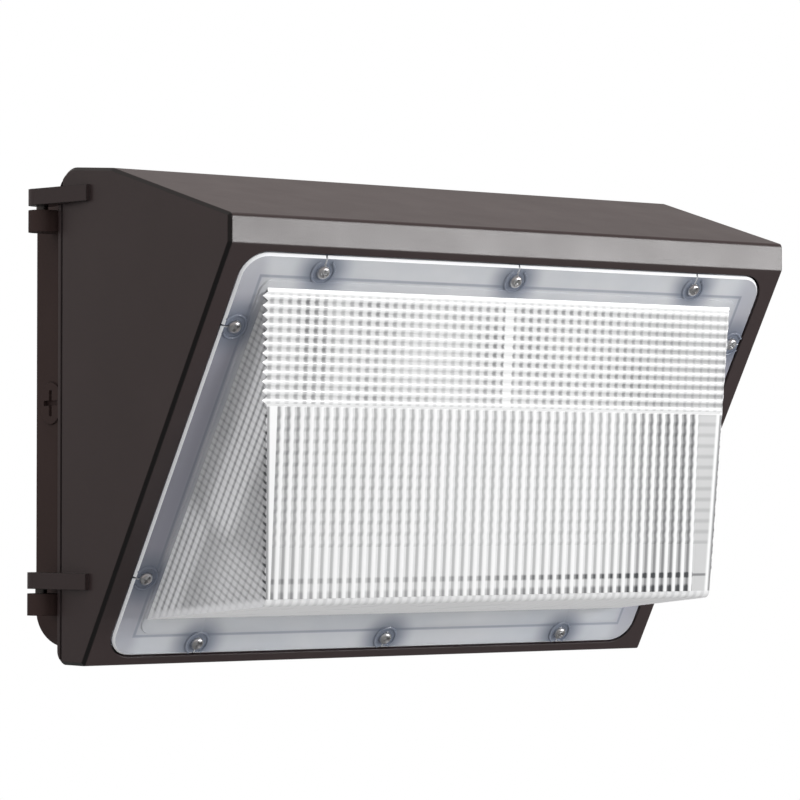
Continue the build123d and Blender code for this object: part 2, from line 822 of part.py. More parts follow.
def fixing_screw(x, z, seat):
    """Pan-head screw through a foot into a pad on the box's floor."""
    shank = wall_peg(x, z, fixing_r, fixing_tip, seat)
    return shank + wall_peg(x, z, fixing_head_r, seat, seat + fixing_head_high)


def driver_screws():
    seat = driver_seat() + driver_foot_thick
    return [fixing_screw(x, z, seat) for x, z in fixing_places()["driver"]]


def terminal_spots():
    """Clamp screws: two rows, one for each side of every pole."""
    row = terminal_wide / 2 - terminal_step / 2
    spots = GridLocations(terminal_spacing, 2 * row, terminal_count, 2)
    return [(terminal_x + spot.position.X, terminal_z + spot.position.Y) for spot in spots]


def terminal_block():
    """Terminal strip: stepped moulding with walls between the poles and a flat foot at each end."""
    seat = box_floor + fixing_pad_high
    plane = Plane(origin=(terminal_x, -seat, terminal_z), x_dir=(1, 0, 0), z_dir=(0, -1, 0))
    poles = terminal_count * terminal_spacing
    block = extrude(plane * Rectangle(poles, terminal_wide), amount=terminal_high)
    pocket = terminal_spacing - 2 * terminal_wall
    for x, z in terminal_spots():
        spot = Plane(origin=(x, -seat - terminal_high, z), x_dir=(1, 0, 0), z_dir=(0, 1, 0))
        block -= extrude(spot * Rectangle(pocket, terminal_step + terminal_wall), amount=terminal_step)
    block += extrude(plane * Rectangle(poles + 2 * terminal_end, terminal_end), amount=driver_foot_thick)
    for x, z in fixing_places()["terminal"]:
        block -= wall_peg(x, z, fixing_r + screw_play, seat, seat + driver_foot_thick)
    return block


def terminal_clamps():
    seat = box_floor + fixing_pad_high + terminal_high - terminal_step
    return [wall_peg(x, z, clamp_r, seat, seat + clamp_high) for x, z in terminal_spots()]


def terminal_screws():
    seat = box_floor + fixing_pad_high + driver_foot_thick
    return [fixing_screw(x, z, seat) for x, z in fixing_places()["terminal"]]


def ground_screw():
    x, z = fixing_places()["ground"][0]
    return fixing_screw(x, z, box_floor + fixing_pad_high)


# Captive latch screws

def latch_screw(z):
    """Screw through the door's ear into the box's ear."""
    head = rim_depth + latch_ear_thick
    tip = rim_depth - latch_travel - ring_thick - ring_room - latch_thread_deep
    shank = wall_peg(latch_x, z, latch_screw_r, tip, head, head_sides)
    cap = wall_peg(latch_x, z, latch_head_r, head, head + latch_head_high, head_sides)
    slot = Plane(origin=(latch_x, -head - latch_head_high, z), x_dir=(1, 0, 0), z_dir=(0, 1, 0))
    return shank + cap - extrude(slot * RegularPolygon(latch_screw_r, 6), amount=latch_head_high / 2)


def latch_ring(z):
    """Ring on the screw that stops it against the door's ear when it is backed out."""
    near = rim_depth - latch_travel - ring_thick - ring_stop_gap
    ring = wall_peg(latch_x, z, ring_r, near, near + ring_thick, head_sides)
    return ring - wall_peg(latch_x, z, latch_screw_r, near, near + ring_thick, head_sides)


# All pieces by name

def pieces():
    nodes = {"back_box": back_box(), "front_housing": front_housing(), "door_seal": door_seal(),
             "lens": lens(), "lens_gasket": lens_gasket(), "lens_screws": lens_screws(),
             "led_plate": led_plate(), "plate_screws": plate_screws(), "reflector": reflector(),
             "board_plugs": board_plugs(), "board_screws": board_screws(),
             "conduit_plug_left": conduit_plug(-1), "conduit_plug_right": conduit_plug(1),
             "driver_case": driver_case(), "driver_end_left": driver_end(-1),
             "driver_end_right": driver_end(1), "driver_screws": driver_screws(),
             "terminal_block": terminal_block(), "terminal_clamps": terminal_clamps(),
             "terminal_screws": terminal_screws(), "ground_screw": ground_screw()}
    for name, level in hinge_levels.items():
        nodes["hinge_pin_" + name] = hinge_pin(level)
    for name, z in latch_levels.items():
        nodes["latch_screw_" + name] = latch_screw(z)
        nodes["latch_ring_" + name] = latch_ring(z)
    for name, u in board_places.items():
        nodes["led_board_" + name] = led_board(u)
        nodes["led_emitters_" + name] = led_emitters(u)
    return nodes


def main():
    os.makedirs("parts", exist_ok=True)
    for name, shape in pieces().items():
        solids = shape if isinstance(shape, list) else [shape]
        export_step(Compound(children=solids) if len(solids) > 1 else solids[0], f"parts/{name}.step")


main()
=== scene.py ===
import math

import bpy
from mathutils import Euler, Matrix, Vector


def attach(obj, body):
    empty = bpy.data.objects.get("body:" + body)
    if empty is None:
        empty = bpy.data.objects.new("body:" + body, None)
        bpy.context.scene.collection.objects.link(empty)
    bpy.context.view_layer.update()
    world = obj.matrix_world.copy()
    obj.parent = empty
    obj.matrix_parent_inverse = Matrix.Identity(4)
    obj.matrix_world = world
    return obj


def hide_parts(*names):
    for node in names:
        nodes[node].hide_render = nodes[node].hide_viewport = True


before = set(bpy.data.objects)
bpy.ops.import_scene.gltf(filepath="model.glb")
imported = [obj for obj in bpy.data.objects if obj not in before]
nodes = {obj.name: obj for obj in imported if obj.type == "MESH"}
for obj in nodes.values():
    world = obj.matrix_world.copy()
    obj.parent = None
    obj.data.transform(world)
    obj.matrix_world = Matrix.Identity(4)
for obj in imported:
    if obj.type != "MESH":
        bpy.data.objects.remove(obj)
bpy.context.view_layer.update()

# Camera at the photograph's place and angle
CAMERA_PLACE = (-1.0545, -1.5285, -0.0417)
CAMERA_PITCH = 1.6386
CAMERA_YAW = -35.996
CAMERA_LENS = 155.19
CAMERA_SENSOR = 36.0


def add_camera():
    """Camera that looks level at a turn of 90 degrees, and up by its pitch."""
    data = bpy.data.cameras.new("camera")
    data.lens = CAMERA_LENS
    data.sensor_width = CAMERA_SENSOR
    camera = bpy.data.objects.new("camera", data)
    bpy.context.scene.collection.objects.link(camera)
    camera.location = CAMERA_PLACE
    camera.rotation_euler = Euler((math.radians(90 + CAMERA_PITCH), 0, math.radians(CAMERA_YAW)))
    bpy.context.scene.camera = camera


# Small helpers for shader trees
NOISE_LOW, NOISE_HIGH = 0.3, 0.7
BLOTCH_SCALE, ROUGH_SCALE, GRAIN_DETAIL = 14.0, 42.0, 2.0
SOFT_EDGE_SAMPLES, SIDE_EDGE_SAMPLES = 4, 6
SIDE_EDGE_FADE = (0.14, 0.23)


def new_material(name):
    material = bpy.data.materials.new(name)
    material.use_nodes = True
    tree = material.node_tree
    return material, tree, tree.nodes["Principled BSDF"]


def add(tree, kind, **values):
    node = tree.nodes.new(kind)
    for key, value in values.items():
        setattr(node, key, value)
    return node


def noise(tree, scale, detail=3.0):
    """Noise texture in object space, so that its scale is per metre."""
    place = add(tree, "ShaderNodeTexCoord")
    node = add(tree, "ShaderNodeTexNoise")
    node.inputs["Scale"].default_value = scale
    node.inputs["Detail"].default_value = detail
    tree.links.new(place.outputs["Object"], node.inputs["Vector"])
    return node.outputs["Fac"]


def spread(tree, value, low, high):
    """Stretches a noise value, from the levels where most of it lies, to a range."""
    node = add(tree, "ShaderNodeMapRange")
    node.inputs["From Min"].default_value = NOISE_LOW
    node.inputs["From Max"].default_value = NOISE_HIGH
    node.inputs["To Min"].default_value = low
    node.inputs["To Max"].default_value = high
    tree.links.new(value, node.inputs["Value"])
    return node.outputs["Result"]


def shade_between(tree, value, dark, light):
    """Colour between two shades by a noise value."""
    node = add(tree, "ShaderNodeValToRGB")
    first, last = node.color_ramp.elements
    first.position, last.position = NOISE_LOW, NOISE_HIGH
    first.color, last.color = (*dark, 1), (*light, 1)
    tree.links.new(value, node.inputs["Fac"])
    return node.outputs["Color"]


def calc(tree, operation, first, second=None, third=None):
    """Maths node on values or sockets."""
    node = add(tree, "ShaderNodeMath", operation=operation)
    for socket, value in zip(node.inputs, (first, second, third)):
        if isinstance(value, (int, float)):
            socket.default_value = value
        elif value is not None:
            tree.links.new(value, socket)
    return node.outputs["Value"]


def ramp(tree, value, low, high):
    """Smooth step from nought at a low value to one at a high value."""
    node = add(tree, "ShaderNodeMapRange", interpolation_type="SMOOTHSTEP")
    node.inputs["From Min"].default_value = low
    node.inputs["From Max"].default_value = high
    tree.links.new(value, node.inputs["Value"])
    return node.outputs["Result"]


def blend(tree, share, first, second):
    """Colour from a first to a second, each a colour or a socket, by a share."""
    node = add(tree, "ShaderNodeMix", data_type="RGBA")
    tree.links.new(share, node.inputs["Factor"])
    for key, colour in (("A", first), ("B", second)):
        if isinstance(colour, tuple):
            node.inputs[key].default_value = (*colour, 1)
        else:
            tree.links.new(colour, node.inputs[key])
    return node.outputs["Result"]


def bump(tree, height, strength, distance, soft_edge):
    """Bump from a height value, over edges softened by a small radius, if there is one."""
    node = add(tree, "ShaderNodeBump")
    node.inputs["Strength"].default_value = strength
    node.inputs["Distance"].default_value = distance
    tree.links.new(height, node.inputs["Height"])
    if soft_edge:
        edge = add(tree, "ShaderNodeBevel", samples=SOFT_EDGE_SAMPLES)
        edge.inputs["Radius"].default_value = soft_edge
        tree.links.new(edge.outputs["Normal"], node.inputs["Normal"])
    return node.outputs["Normal"]


def side_edges(tree, radius):
    """One on the softened edges between a side, which faces along x, and its neighbours: the mask of a
    painted dark line of shade along them.
    """
    edge = add(tree, "ShaderNodeBevel", samples=SIDE_EDGE_SAMPLES)
    edge.inputs["Radius"].default_value = radius
    parts = add(tree, "ShaderNodeSeparateXYZ")
    tree.links.new(edge.outputs["Normal"], parts.inputs["Vector"])
    facing = calc(tree, "MULTIPLY", parts.outputs["X"], parts.outputs["X"])
    slanting = calc(tree, "MULTIPLY", facing, calc(tree, "SUBTRACT", 1.0, facing))
    return ramp(tree, slanting, *SIDE_EDGE_FADE)


def textured(name, dark, light, rough, metal=0.0, grain=1400.0, grain_high=0.00012, grain_strength=0.25,
             soft_edge=0.0, specular=0.5, painted_edge_dark=None):
    """Material with blotches in its colour, a varying roughness and a fine surface grain, and a painted
    dark line of shade along the side edges where a colour for it is given.
    """
    material, tree, shader = new_material(name)
    colour = shade_between(tree, noise(tree, BLOTCH_SCALE), dark, light)
    # Painted shade: a dark line along the side edges
    if painted_edge_dark:
        colour = blend(tree, side_edges(tree, soft_edge), colour, painted_edge_dark)
    tree.links.new(colour, shader.inputs["Base Color"])
    tree.links.new(spread(tree, noise(tree, ROUGH_SCALE), *rough), shader.inputs["Roughness"])
    surface = bump(tree, noise(tree, grain, GRAIN_DETAIL), grain_strength, grain_high, soft_edge)
    tree.links.new(surface, shader.inputs["Normal"])
    shader.inputs["Metallic"].default_value = metal
    shader.inputs["Specular IOR Level"].default_value = specular
    return material


# Sizes shared with the solids, in millimetres
DOOR_WIDTH, DOOR_HEIGHT, RIM_DEPTH = 360.0, 249.0, 32.0
BROW_DEPTH, BROW_DROP, BROW_HEIGHT, SILL_DEPTH = 181.0, 32.5, 14.0, 56.5
SIDE_DRAFT = 0.04
BEZEL_SIDE, BEZEL_TOP, BEZEL_BOTTOM = 11.7, 4.7, 5.6
FLANGE_BASE, FLANGE_TOP, FLANGE_STEP = -3.5, 0.5, 0.8
FLANGE_CORNER, FLANGE_BEVEL, STEP_INSET = 13.0, 1.2, 13.4
LENS_SIDE_INSET, LENS_CROWN_INSET, LENS_TOP_INSET, LENS_BASE_INSET = 15.5, 17.5, 15.2, 21.5
LENS_LEAN, LENS_FLOOR, LENS_NOSE_TAPER, LENS_WALL = 10.5, 31.3, 11.7, 3.0
SCREW_SPREAD, SCREW_INSET, SCREW_LOW, SIDE_SCREWS = 116.5, 8.5, 6.8, (51.6, 193.5)

# Ribs of the lens: counts and pitches, then heights outside and inside
CROSS_COUNT, CROSS_PITCH = 12, 4.52
FLUTE_COUNT, FLUTE_PITCH, FLUTE_INSET = 47, 5.65, 2.35
COLUMN_PITCH, ROW_PITCH = 5.17, 5.6
WALL_PITCH, INNER_WALL_PITCH = 4.2, 3.5
FLOOR_PITCH, INNER_FLOOR_PITCH = 4.5, 5.0
CROSS_HIGH, FLUTE_HIGH, WALL_HIGH, FLOOR_HIGH = 0.7, 0.8, 0.35, 0.08
COLUMN_HIGH, ROW_HIGH, INNER_WALL_HIGH, INNER_FLOOR_HIGH = 0.30, 0.08, 0.10, 0.15

# Plain stretches of the front, reach of the level ribs past its edges, and its rounded lower edge
CROWN_STRIP, CENTRE_STRIP = 1.6, 6.5
LEFT_OVERRUN, RIGHT_OVERRUN = 3.6, -1.5
NOSE_R = 4.0

# Units, and fineness of the meshes
MM, MM_PER_METRE = 0.001, 1000
RIB_STEPS, ARC_STEPS, SHARP_ANGLE = 10, 8, 35
RIB_MARGIN, THIN_STRIP, EDGE_GAP = 1.0, 1e-3, 1e-4

# The sloping bezel: u across, v up the slope, w out of the front
SLOPE_RISE = DOOR_HEIGHT - BROW_DROP - BROW_HEIGHT
SLOPE_RUN = BROW_DEPTH - SILL_DEPTH
SLOPE_LONG = math.hypot(SLOPE_RISE, SLOPE_RUN)
ACROSS = Vector((1, 0, 0))
UP_SLOPE = Vector((0, -SLOPE_RUN, SLOPE_RISE)) / SLOPE_LONG
OUT_SLOPE = Vector((0, -SLOPE_RISE, -SLOPE_RUN)) / SLOPE_LONG
SILL = Vector((0, -SILL_DEPTH, -DOOR_HEIGHT / 2))


def on_bezel(u, v, w):
    return SILL + ACROSS * u + UP_SLOPE * v + OUT_SLOPE * w


def bezel_half(v):
    """Half of the bezel's width at a place up the slope."""
    return DOOR_WIDTH / 2 - SIDE_DRAFT * (SILL_DEPTH + v * SLOPE_RUN / SLOPE_LONG - RIM_DEPTH)


# The lens's wedge: its front from crown to nose, and its bottom wall from nose to root
LENS_LOW = BEZEL_BOTTOM + LENS_BASE_INSET
LENS_HIGH = SLOPE_LONG - BEZEL_TOP - LENS_TOP_INSET
BASE_HALF = bezel_half(LENS_LOW) - BEZEL_SIDE - LENS_SIDE_INSET
TOP_HALF = bezel_half(LENS_HIGH) - BEZEL_SIDE - LENS_CROWN_INSET
NOSE_HALF = BASE_HALF - LENS_NOSE_TAPER
CROWN = on_bezel(0, LENS_HIGH, 0)
ROOT = on_bezel(0, LENS_LOW, 0)
NOSE = Vector((0, CROWN.y + LENS_LEAN, LENS_FLOOR - DOOR_HEIGHT / 2))
FACE_LONG = (NOSE - CROWN).length
FACE_DOWN = (NOSE - CROWN).normalized()
FACE_OUT = FACE_DOWN.cross(ACROSS)
FLOOR_BACK = (ROOT - NOSE).normalized()
FLOOR_OUT = FLOOR_BACK.cross(ACROSS)
CROSS_START = (FLANGE_TOP + FLANGE_STEP) / FACE_DOWN.cross(UP_SLOPE).length + CROWN_STRIP
CROSS_END = CROSS_START + CROSS_COUNT * CROSS_PITCH
FLUTE_START = FLUTE_INSET - NOSE_HALF
FLUTE_END = FLUTE_START + FLUTE_COUNT * FLUTE_PITCH


class Skin:
    """Collects faces of one mesh, in millimetres."""

    def __init__(self):
        self.points = []
        self.faces = []
        self.smooth = []

    def rows(self, rows, closed=False, smooth=True):
        """Faces between rows of points, each row seen from outside running left to right, going up."""
        start, wide = len(self.points), len(rows[0])
        for row in rows:
            self.points.extend(row)
        for i in range(len(rows) - 1):
            for j in range(wide if closed else wide - 1):
                low, high = start + i * wide, start + (i + 1) * wide
                right = (j + 1) % wide
                self.faces.append((low + j, low + right, high + right, high + j))
                self.smooth.append(smooth)

    def build(self, name, material, body):
        mesh = bpy.data.meshes.new(name)
        mesh.from_pydata([point * MM for point in self.points], [], self.faces)
        mesh.polygons.foreach_set("use_smooth", self.smooth)
        mesh.set_sharp_from_angle(angle=math.radians(SHARP_ANGLE))
        mesh.materials.append(material)
        piece = bpy.data.objects.new(name, mesh)
        bpy.context.scene.collection.objects.link(piece)
        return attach(piece, body)


# Faces with ribs
def chord(corners, side, along, origin, level):
    """Two ends of the line at a level across a convex face."""
    hits = []
    for here, there in zip(corners, corners[1:] + corners[:1]):
        a, b = (here - origin).dot(side) - level, (there - origin).dot(side) - level
        if a * b <= 0 and a != b:
            hits.append(here.lerp(there, a / (a - b)))
    hits.sort(key=lambda point: point.dot(along))
    return hits[0], hits[-1]


def rib_strips(low, high, groups):
    """Levels across a face in strips: one for each rib, and one for each flat stretch."""
    strips, at = [], low
    for start, pitch, count in groups:
        strips.append(([at, start], None))
        for i in range(count):
            left = start + i * pitch
            strips.append(([left + pitch * k / RIB_STEPS for k in range(RIB_STEPS + 1)], (left, pitch)))
        at = start + count * pitch
    strips.append(([at, high], None))
    return [strip for strip in strips if strip[0][-1] - strip[0][0] > THIN_STRIP]


def filling(pitch):
    """Rule for as many ribs as fit between two levels, centred."""
    def fill(low, high):
        count = math.floor((high - low - 2 * RIB_MARGIN) / pitch)
        return [((low + high - count * pitch) / 2, pitch, count)]
    return fill


def aligned(pitch):
    """Rule for as many ribs as fit between two levels, with grooves at whole pitches from the origin."""
    def fill(low, high):
        first, last = math.ceil((low + RIB_MARGIN) / pitch), math.floor((high - RIB_MARGIN) / pitch)
        return [(first * pitch, pitch, last - first)]
    return fill


def round_rib(share):
    return math.sin(math.pi * share)


def wave_rib(share):
    return 0.5 - 0.5 * math.cos(2 * math.pi * share)


def ribbed(skin, corners, out, along, origin, high, groups, shape=round_rib, overrun=(0.0, 0.0)):
    """Flat face with ribs that run along one direction and stand out by a height.

    The overrun draws each rib out to a point on the left, and shifts its square end on the right.
    """
    side = out.cross(along)
    marks = [(corner - origin).dot(side) for corner in corners]
    low_end, high_end = min(marks) + EDGE_GAP, max(marks) - EDGE_GAP
    groups = groups(low_end, high_end) if callable(groups) else groups
    for levels, rib in rib_strips(low_end, high_end, groups):
        levels = sorted(set(levels + [m for m in marks if levels[0] < m < levels[-1]]))
        crest, left, right = [], [], []
        for level in levels:
            share = (level - rib[0]) / rib[1] if rib else 0.0
            rise = shape(share)
            first, last = chord(corners, side, along, origin, min(max(level, low_end), high_end))
            left_reach = along * overrun[0] * (1 - abs(2 * share - 1))
            right_reach = along * overrun[1] if rib else Vector()
            crest.append([first + out * high * rise - left_reach, last + out * high * rise + right_reach])
            left.append([first, crest[-1][0]])
            right.append([crest[-1][1], last])
        skin.rows(crest)
        if rib:
            skin.rows(left)
            skin.rows(right)


# Faces of the lens
def meet(*planes):
    """Point where three planes, each a normal and a distance, cross."""
    return Matrix([normal for normal, _ in planes]).inverted() @ Vector([far for _, far in planes])


def lens_corners(skin_thick, base):
    """Corners of the lens's wedge, drawn in by a thickness: at the crown, the tip and the foot."""
    found = {}
    front = (FACE_OUT, FACE_OUT.dot(CROWN) - skin_thick)
    floor = (FLOOR_OUT, FLOOR_OUT.dot(NOSE) - skin_thick)
    level = (OUT_SLOPE, OUT_SLOPE.dot(SILL) + base)
    for sign in (-1, 1):
        root = ROOT + ACROSS * sign * BASE_HALF
        crown = CROWN + ACROSS * sign * TOP_HALF
        nose = NOSE + ACROSS * sign * NOSE_HALF
        out = (crown - root).cross(nose - root).normalized()
        out = out if out.x * sign > 0 else -out
        wall = (out, out.dot(root) - skin_thick)
        found[sign] = {"crown": meet(front, wall, level), "tip": meet(front, floor, wall),
                       "foot": meet(floor, wall, level), "out": out, "along": (crown - root).normalized()}
    return found


def corner_arc(before, corner, after, radius):
    """Points of a rounded corner."""
    to_before, to_after = (before - corner).normalized(), (after - corner).normalized()
    half = to_before.angle(to_after) / 2
    centre = corner + (to_before + to_after).normalized() * radius / math.sin(half)
    start = corner + to_before * radius / math.tan(half) - centre
    end = corner + to_after * radius / math.tan(half) - centre
    return [centre + start.slerp(end, k / ARC_STEPS).normalized() * radius for k in range(ARC_STEPS + 1)]


def nose_arc(c):
    """Points of the rounded edge between the front and the bottom wall, at one side wall."""
    return corner_arc(c["crown"], c["tip"], c["foot"], NOSE_R)


def split_front(corners, tips):
    """The front face in two: the upper part with cross ribs, the lower part with flutes."""
    cut = [chord([c["crown"], c["tip"]], FACE_DOWN, FACE_DOWN, CROWN, CROSS_END)[0]
           for c in (corners[-1], corners[1])]
    upper = [corners[-1]["crown"], cut[0], cut[1], corners[1]["crown"]]
    lower = [cut[0], *tips, cut[1]]
    return upper, lower


def lens_front(skin, outer):
    """Front face outside: level ribs above flutes."""
    upper, lower = split_front(outer, [nose_arc(outer[sign])[0] for sign in (-1, 1)])
    ribbed(skin, upper, FACE_OUT, ACROSS, CROWN, CROSS_HIGH, [(-CROSS_END, CROSS_PITCH, CROSS_COUNT)],
           overrun=(LEFT_OVERRUN, RIGHT_OVERRUN))
    ribbed(skin, lower, FACE_OUT, FACE_DOWN, CROWN, FLUTE_HIGH,
           [(FLUTE_START, FLUTE_PITCH, FLUTE_COUNT)])


def lens_back(skin, inner):
    """Front face inside: upright columns above level rows."""
    upper, lower = split_front(inner, [inner[sign]["tip"] for sign in (-1, 1)])
    columns = math.floor((TOP_HALF - 2 * LENS_WALL - CENTRE_STRIP / 2) / COLUMN_PITCH)
    edge = CENTRE_STRIP / 2
    groups = [(-edge - columns * COLUMN_PITCH, COLUMN_PITCH, columns), (edge, COLUMN_PITCH, columns)]
    ribbed(skin, upper, -FACE_OUT, FACE_DOWN, CROWN, COLUMN_HIGH, groups, wave_rib)
    ribbed(skin, lower, -FACE_OUT, ACROSS, CROWN, ROW_HIGH, filling(ROW_PITCH), wave_rib)


def lens_sides(skin, outer, inner):
    """Side walls: ribs along the flange outside, ribs across them inside."""
    for sign in (-1, 1):
        c = outer[sign]
        ribbed(skin, [c["crown"], *nose_arc(c), c["foot"]], c["out"], c["along"], ROOT, WALL_HIGH,
               aligned(WALL_PITCH))
        c = inner[sign]
        ribbed(skin, [c["crown"], c["tip"], c["foot"]], -c["out"], c["along"].cross(c["out"]), ROOT,
               INNER_WALL_HIGH, aligned(INNER_WALL_PITCH), wave_rib)


def lens_floor(skin, outer, inner):
    """Bottom wall with its rounded front edge, and the open rim at the back."""
    left, right = nose_arc(outer[-1]), nose_arc(outer[1])
    skin.rows([list(ends) for ends in zip(reversed(left), reversed(right))])
    below = [left[-1], outer[-1]["foot"], outer[1]["foot"], right[-1]]
    ribbed(skin, below, FLOOR_OUT, ACROSS, NOSE, FLOOR_HIGH, filling(FLOOR_PITCH))
    above = [inner[-1]["tip"], inner[-1]["foot"], inner[1]["foot"], inner[1]["tip"]]
    ribbed(skin, above, -FLOOR_OUT, FLOOR_BACK, NOSE, INNER_FLOOR_HIGH, filling(INNER_FLOOR_PITCH),
           wave_rib)
    ring = [[c[-1]["foot"], c[1]["foot"], c[1]["crown"], c[-1]["crown"]] for c in (inner, outer)]
    skin.rows(ring, closed=True)


# Flange outlines: every loop has corners and slits, some too small to see, so that all loops match
STEP_CORNER, STEP_SLOPE = 6.0, 0.4
SLIT_HALF, SIDE_SLIT_SHARE = 0.5, 0.8
NO_CORNER, NO_SLIT = 0.05, 0.02


def slit(place, run, inward, deep):
    """Four points of a slit, cut into an edge at a place."""
    near, far = place - run * SLIT_HALF, place + run * SLIT_HALF
    return [near, near + inward * deep, far + inward * deep, far]


def outline(low, high, wide, narrow, radius, deep, w):
    """Trapezoid on the bezel with rounded corners and slits, as one loop of points."""
    corners = [Vector((-wide, low)), Vector((wide, low)), Vector((narrow, high)), Vector((-narrow, high))]
    inwards = [Vector((0, 1)), Vector((-1, 0)), Vector((0, -1)), Vector((1, 0))]
    places = [[(u, None) for u in (-SCREW_SPREAD, 0, SCREW_SPREAD)], [(None, v) for v in SIDE_SCREWS]]
    places += [places[0][::-1], places[1][::-1]]
    loop = []
    for i, corner in enumerate(corners):
        after = corners[(i + 1) % 4]
        loop += corner_arc(corners[i - 1], corner, after, radius)
        run = (after - corner).normalized()
        for u, v in places[i]:
            share = (u - corner.x) / run.x if v is None else (v - corner.y) / run.y
            cut = deep if i % 2 == 0 else deep * SIDE_SLIT_SHARE
            loop += slit(corner + run * share, run, inwards[i], cut)
    return [on_bezel(point.x, point.y, w) for point in loop]


def inset_outline(inset, radius, deep, w):
    """The flange's outline, drawn in by an inset."""
    low, high = BEZEL_BOTTOM + inset, SLOPE_LONG - BEZEL_TOP - inset
    side = BEZEL_SIDE + inset
    return outline(low, high, bezel_half(low) - side, bezel_half(high) - side, radius, deep, w)


def body_outline(w):
    """The wedge's outline where it passes a height over the bezel."""
    c = lens_corners(0.0, w)[1]
    low, high = (c["foot"] - SILL).dot(UP_SLOPE), (c["crown"] - SILL).dot(UP_SLOPE)
    return outline(low, high, c["foot"].x, c["crown"].x, NO_CORNER, NO_SLIT, w)


def lens_flange(skin):
    """Flange with a step up to the wedge, but without its bevel."""
    rise = FLANGE_TOP + FLANGE_STEP
    foot = inset_outline(0, FLANGE_CORNER, SCREW_LOW, FLANGE_BASE)
    edge = inset_outline(0, FLANGE_CORNER, SCREW_LOW, FLANGE_TOP - FLANGE_BEVEL)
    top = inset_outline(FLANGE_BEVEL, FLANGE_CORNER - FLANGE_BEVEL, SCREW_LOW, FLANGE_TOP)
    step_foot = inset_outline(STEP_INSET, STEP_CORNER, NO_SLIT, FLANGE_TOP)
    step_top = inset_outline(STEP_INSET + STEP_SLOPE, STEP_CORNER, NO_SLIT, rise)
    skin.rows([foot, edge], closed=True)
    skin.rows([top, step_foot], closed=True, smooth=False)
    skin.rows([step_foot, step_top], closed=True)
    skin.rows([step_top, body_outline(rise)], closed=True, smooth=False)
    skin.rows([body_outline(rise), body_outline(FLANGE_BASE)], closed=True, smooth=False)
    skin.rows([body_outline(FLANGE_BASE), foot], closed=True, smooth=False)


def flange_edge(skin):
    """Bevel round the flange."""
    edge = inset_outline(0, FLANGE_CORNER, SCREW_LOW, FLANGE_TOP - FLANGE_BEVEL)
    top = inset_outline(FLANGE_BEVEL, FLANGE_CORNER - FLANGE_BEVEL, SCREW_LOW, FLANGE_TOP)
    skin.rows([edge, top], closed=True)


# Places of the lens screws, and the rims round them
RIM_R, RIM_HALF, RIM_HIGH, RIM_OPEN = 6.3, 0.8, 0.9, 0.55
RIM_STEPS, RIM_SECTION_STEPS = 36, 6


def screw_places():
    """Lens screws on the bezel, each with the way out to the nearest edge."""
    low, high = BEZEL_BOTTOM + SCREW_LOW, SLOPE_LONG - BEZEL_TOP - SCREW_INSET
    places = []
    for u in (-SCREW_SPREAD, 0, SCREW_SPREAD):
        places += [(u, high, math.pi / 2), (u, low, -math.pi / 2)]
    for v in SIDE_SCREWS:
        u = bezel_half(v) - BEZEL_SIDE - SCREW_LOW
        places += [(-u, v, math.pi), (u, v, 0.0)]
    return places


def screw_rim(skin, u, v, way_out):
    """Raised rim round a screw, open towards the flange's edge."""
    turns = [math.pi * k / RIM_SECTION_STEPS for k in range(RIM_SECTION_STEPS + 1)]
    section = [(RIM_HALF * math.cos(turn), RIM_HIGH * math.sin(turn)) for turn in turns]
    rows = []
    for r, high in section:
        row = []
        for k in range(RIM_STEPS + 1):
            turn = way_out + RIM_OPEN + (2 * math.pi - 2 * RIM_OPEN) * k / RIM_STEPS
            row.append(on_bezel(u + (RIM_R + r) * math.cos(turn), v + (RIM_R + r) * math.sin(turn),
                                FLANGE_TOP + high))
        rows.append(row)
    skin.rows(rows)


# Places and patterns for materials
NEAR_PART = 3
SIDE_FADE, SIDE_REACH, BOSS_FADE_METRES = (9.0, 18.0), 150.0, (0.004, 0.020)


def distance_along(tree, direction, origin):
    """Millimetres along a direction from a point, in object space."""
    place = add(tree, "ShaderNodeTexCoord")
    dot = add(tree, "ShaderNodeVectorMath", operation="DOT_PRODUCT")
    tree.links.new(place.outputs["Object"], dot.inputs[0])
    dot.inputs[1].default_value = direction * MM_PER_METRE
    return calc(tree, "SUBTRACT", dot.outputs["Value"], origin.dot(direction))


def mirrored_along(tree, direction, origin):
    """As distance_along, with the left half taken as the mirror of the right."""
    level = distance_along(tree, Vector((0, direction.y, direction.z)), origin)
    beside = calc(tree, "ABSOLUTE", distance_along(tree, ACROSS, Vector()))
    return calc(tree, "MULTIPLY_ADD", beside, direction.x, level)


def groove(tree, distance, start, pitch, crest, root):
    """Nought on the crests of a row of ribs and one in its grooves.

    The widths of crest and root, where it stays at nought and at one, are shares of the pitch.
    """
    turn = calc(tree, "FRACT", calc(tree, "DIVIDE", calc(tree, "SUBTRACT", distance, start), pitch))
    away = calc(tree, "ABSOLUTE", calc(tree, "SUBTRACT", turn, 0.5))
    return ramp(tree, away, crest / 2, 0.5 - root / 2)


def near_level(tree, distance, level, half):
    """One near a level and nought past a distance from it."""
    away = calc(tree, "ABSOLUTE", calc(tree, "SUBTRACT", distance, level))
    return calc(tree, "SUBTRACT", 1.0, ramp(tree, away, half / NEAR_PART, half))


def away_from_bosses(tree):
    """Metres to the nearest boss that holds a lens screw, with the left half as the mirror of the right."""
    place = add(tree, "ShaderNodeTexCoord")
    mirrored = add(tree, "ShaderNodeVectorMath", operation="ABSOLUTE")
    tree.links.new(place.outputs["Object"], mirrored.inputs[0])
    nearest = None
    for u, v, _ in screw_places():
        if u < 0:
            continue
        away = add(tree, "ShaderNodeVectorMath", operation="DISTANCE")
        tree.links.new(mirrored.outputs["Vector"], away.inputs[0])
        away.inputs[1].default_value = [abs(part) * MM for part in on_bezel(u, v, FLANGE_BASE)]
        far = away.outputs["Value"]
        nearest = calc(tree, "MINIMUM", nearest, far) if nearest else far
    return nearest


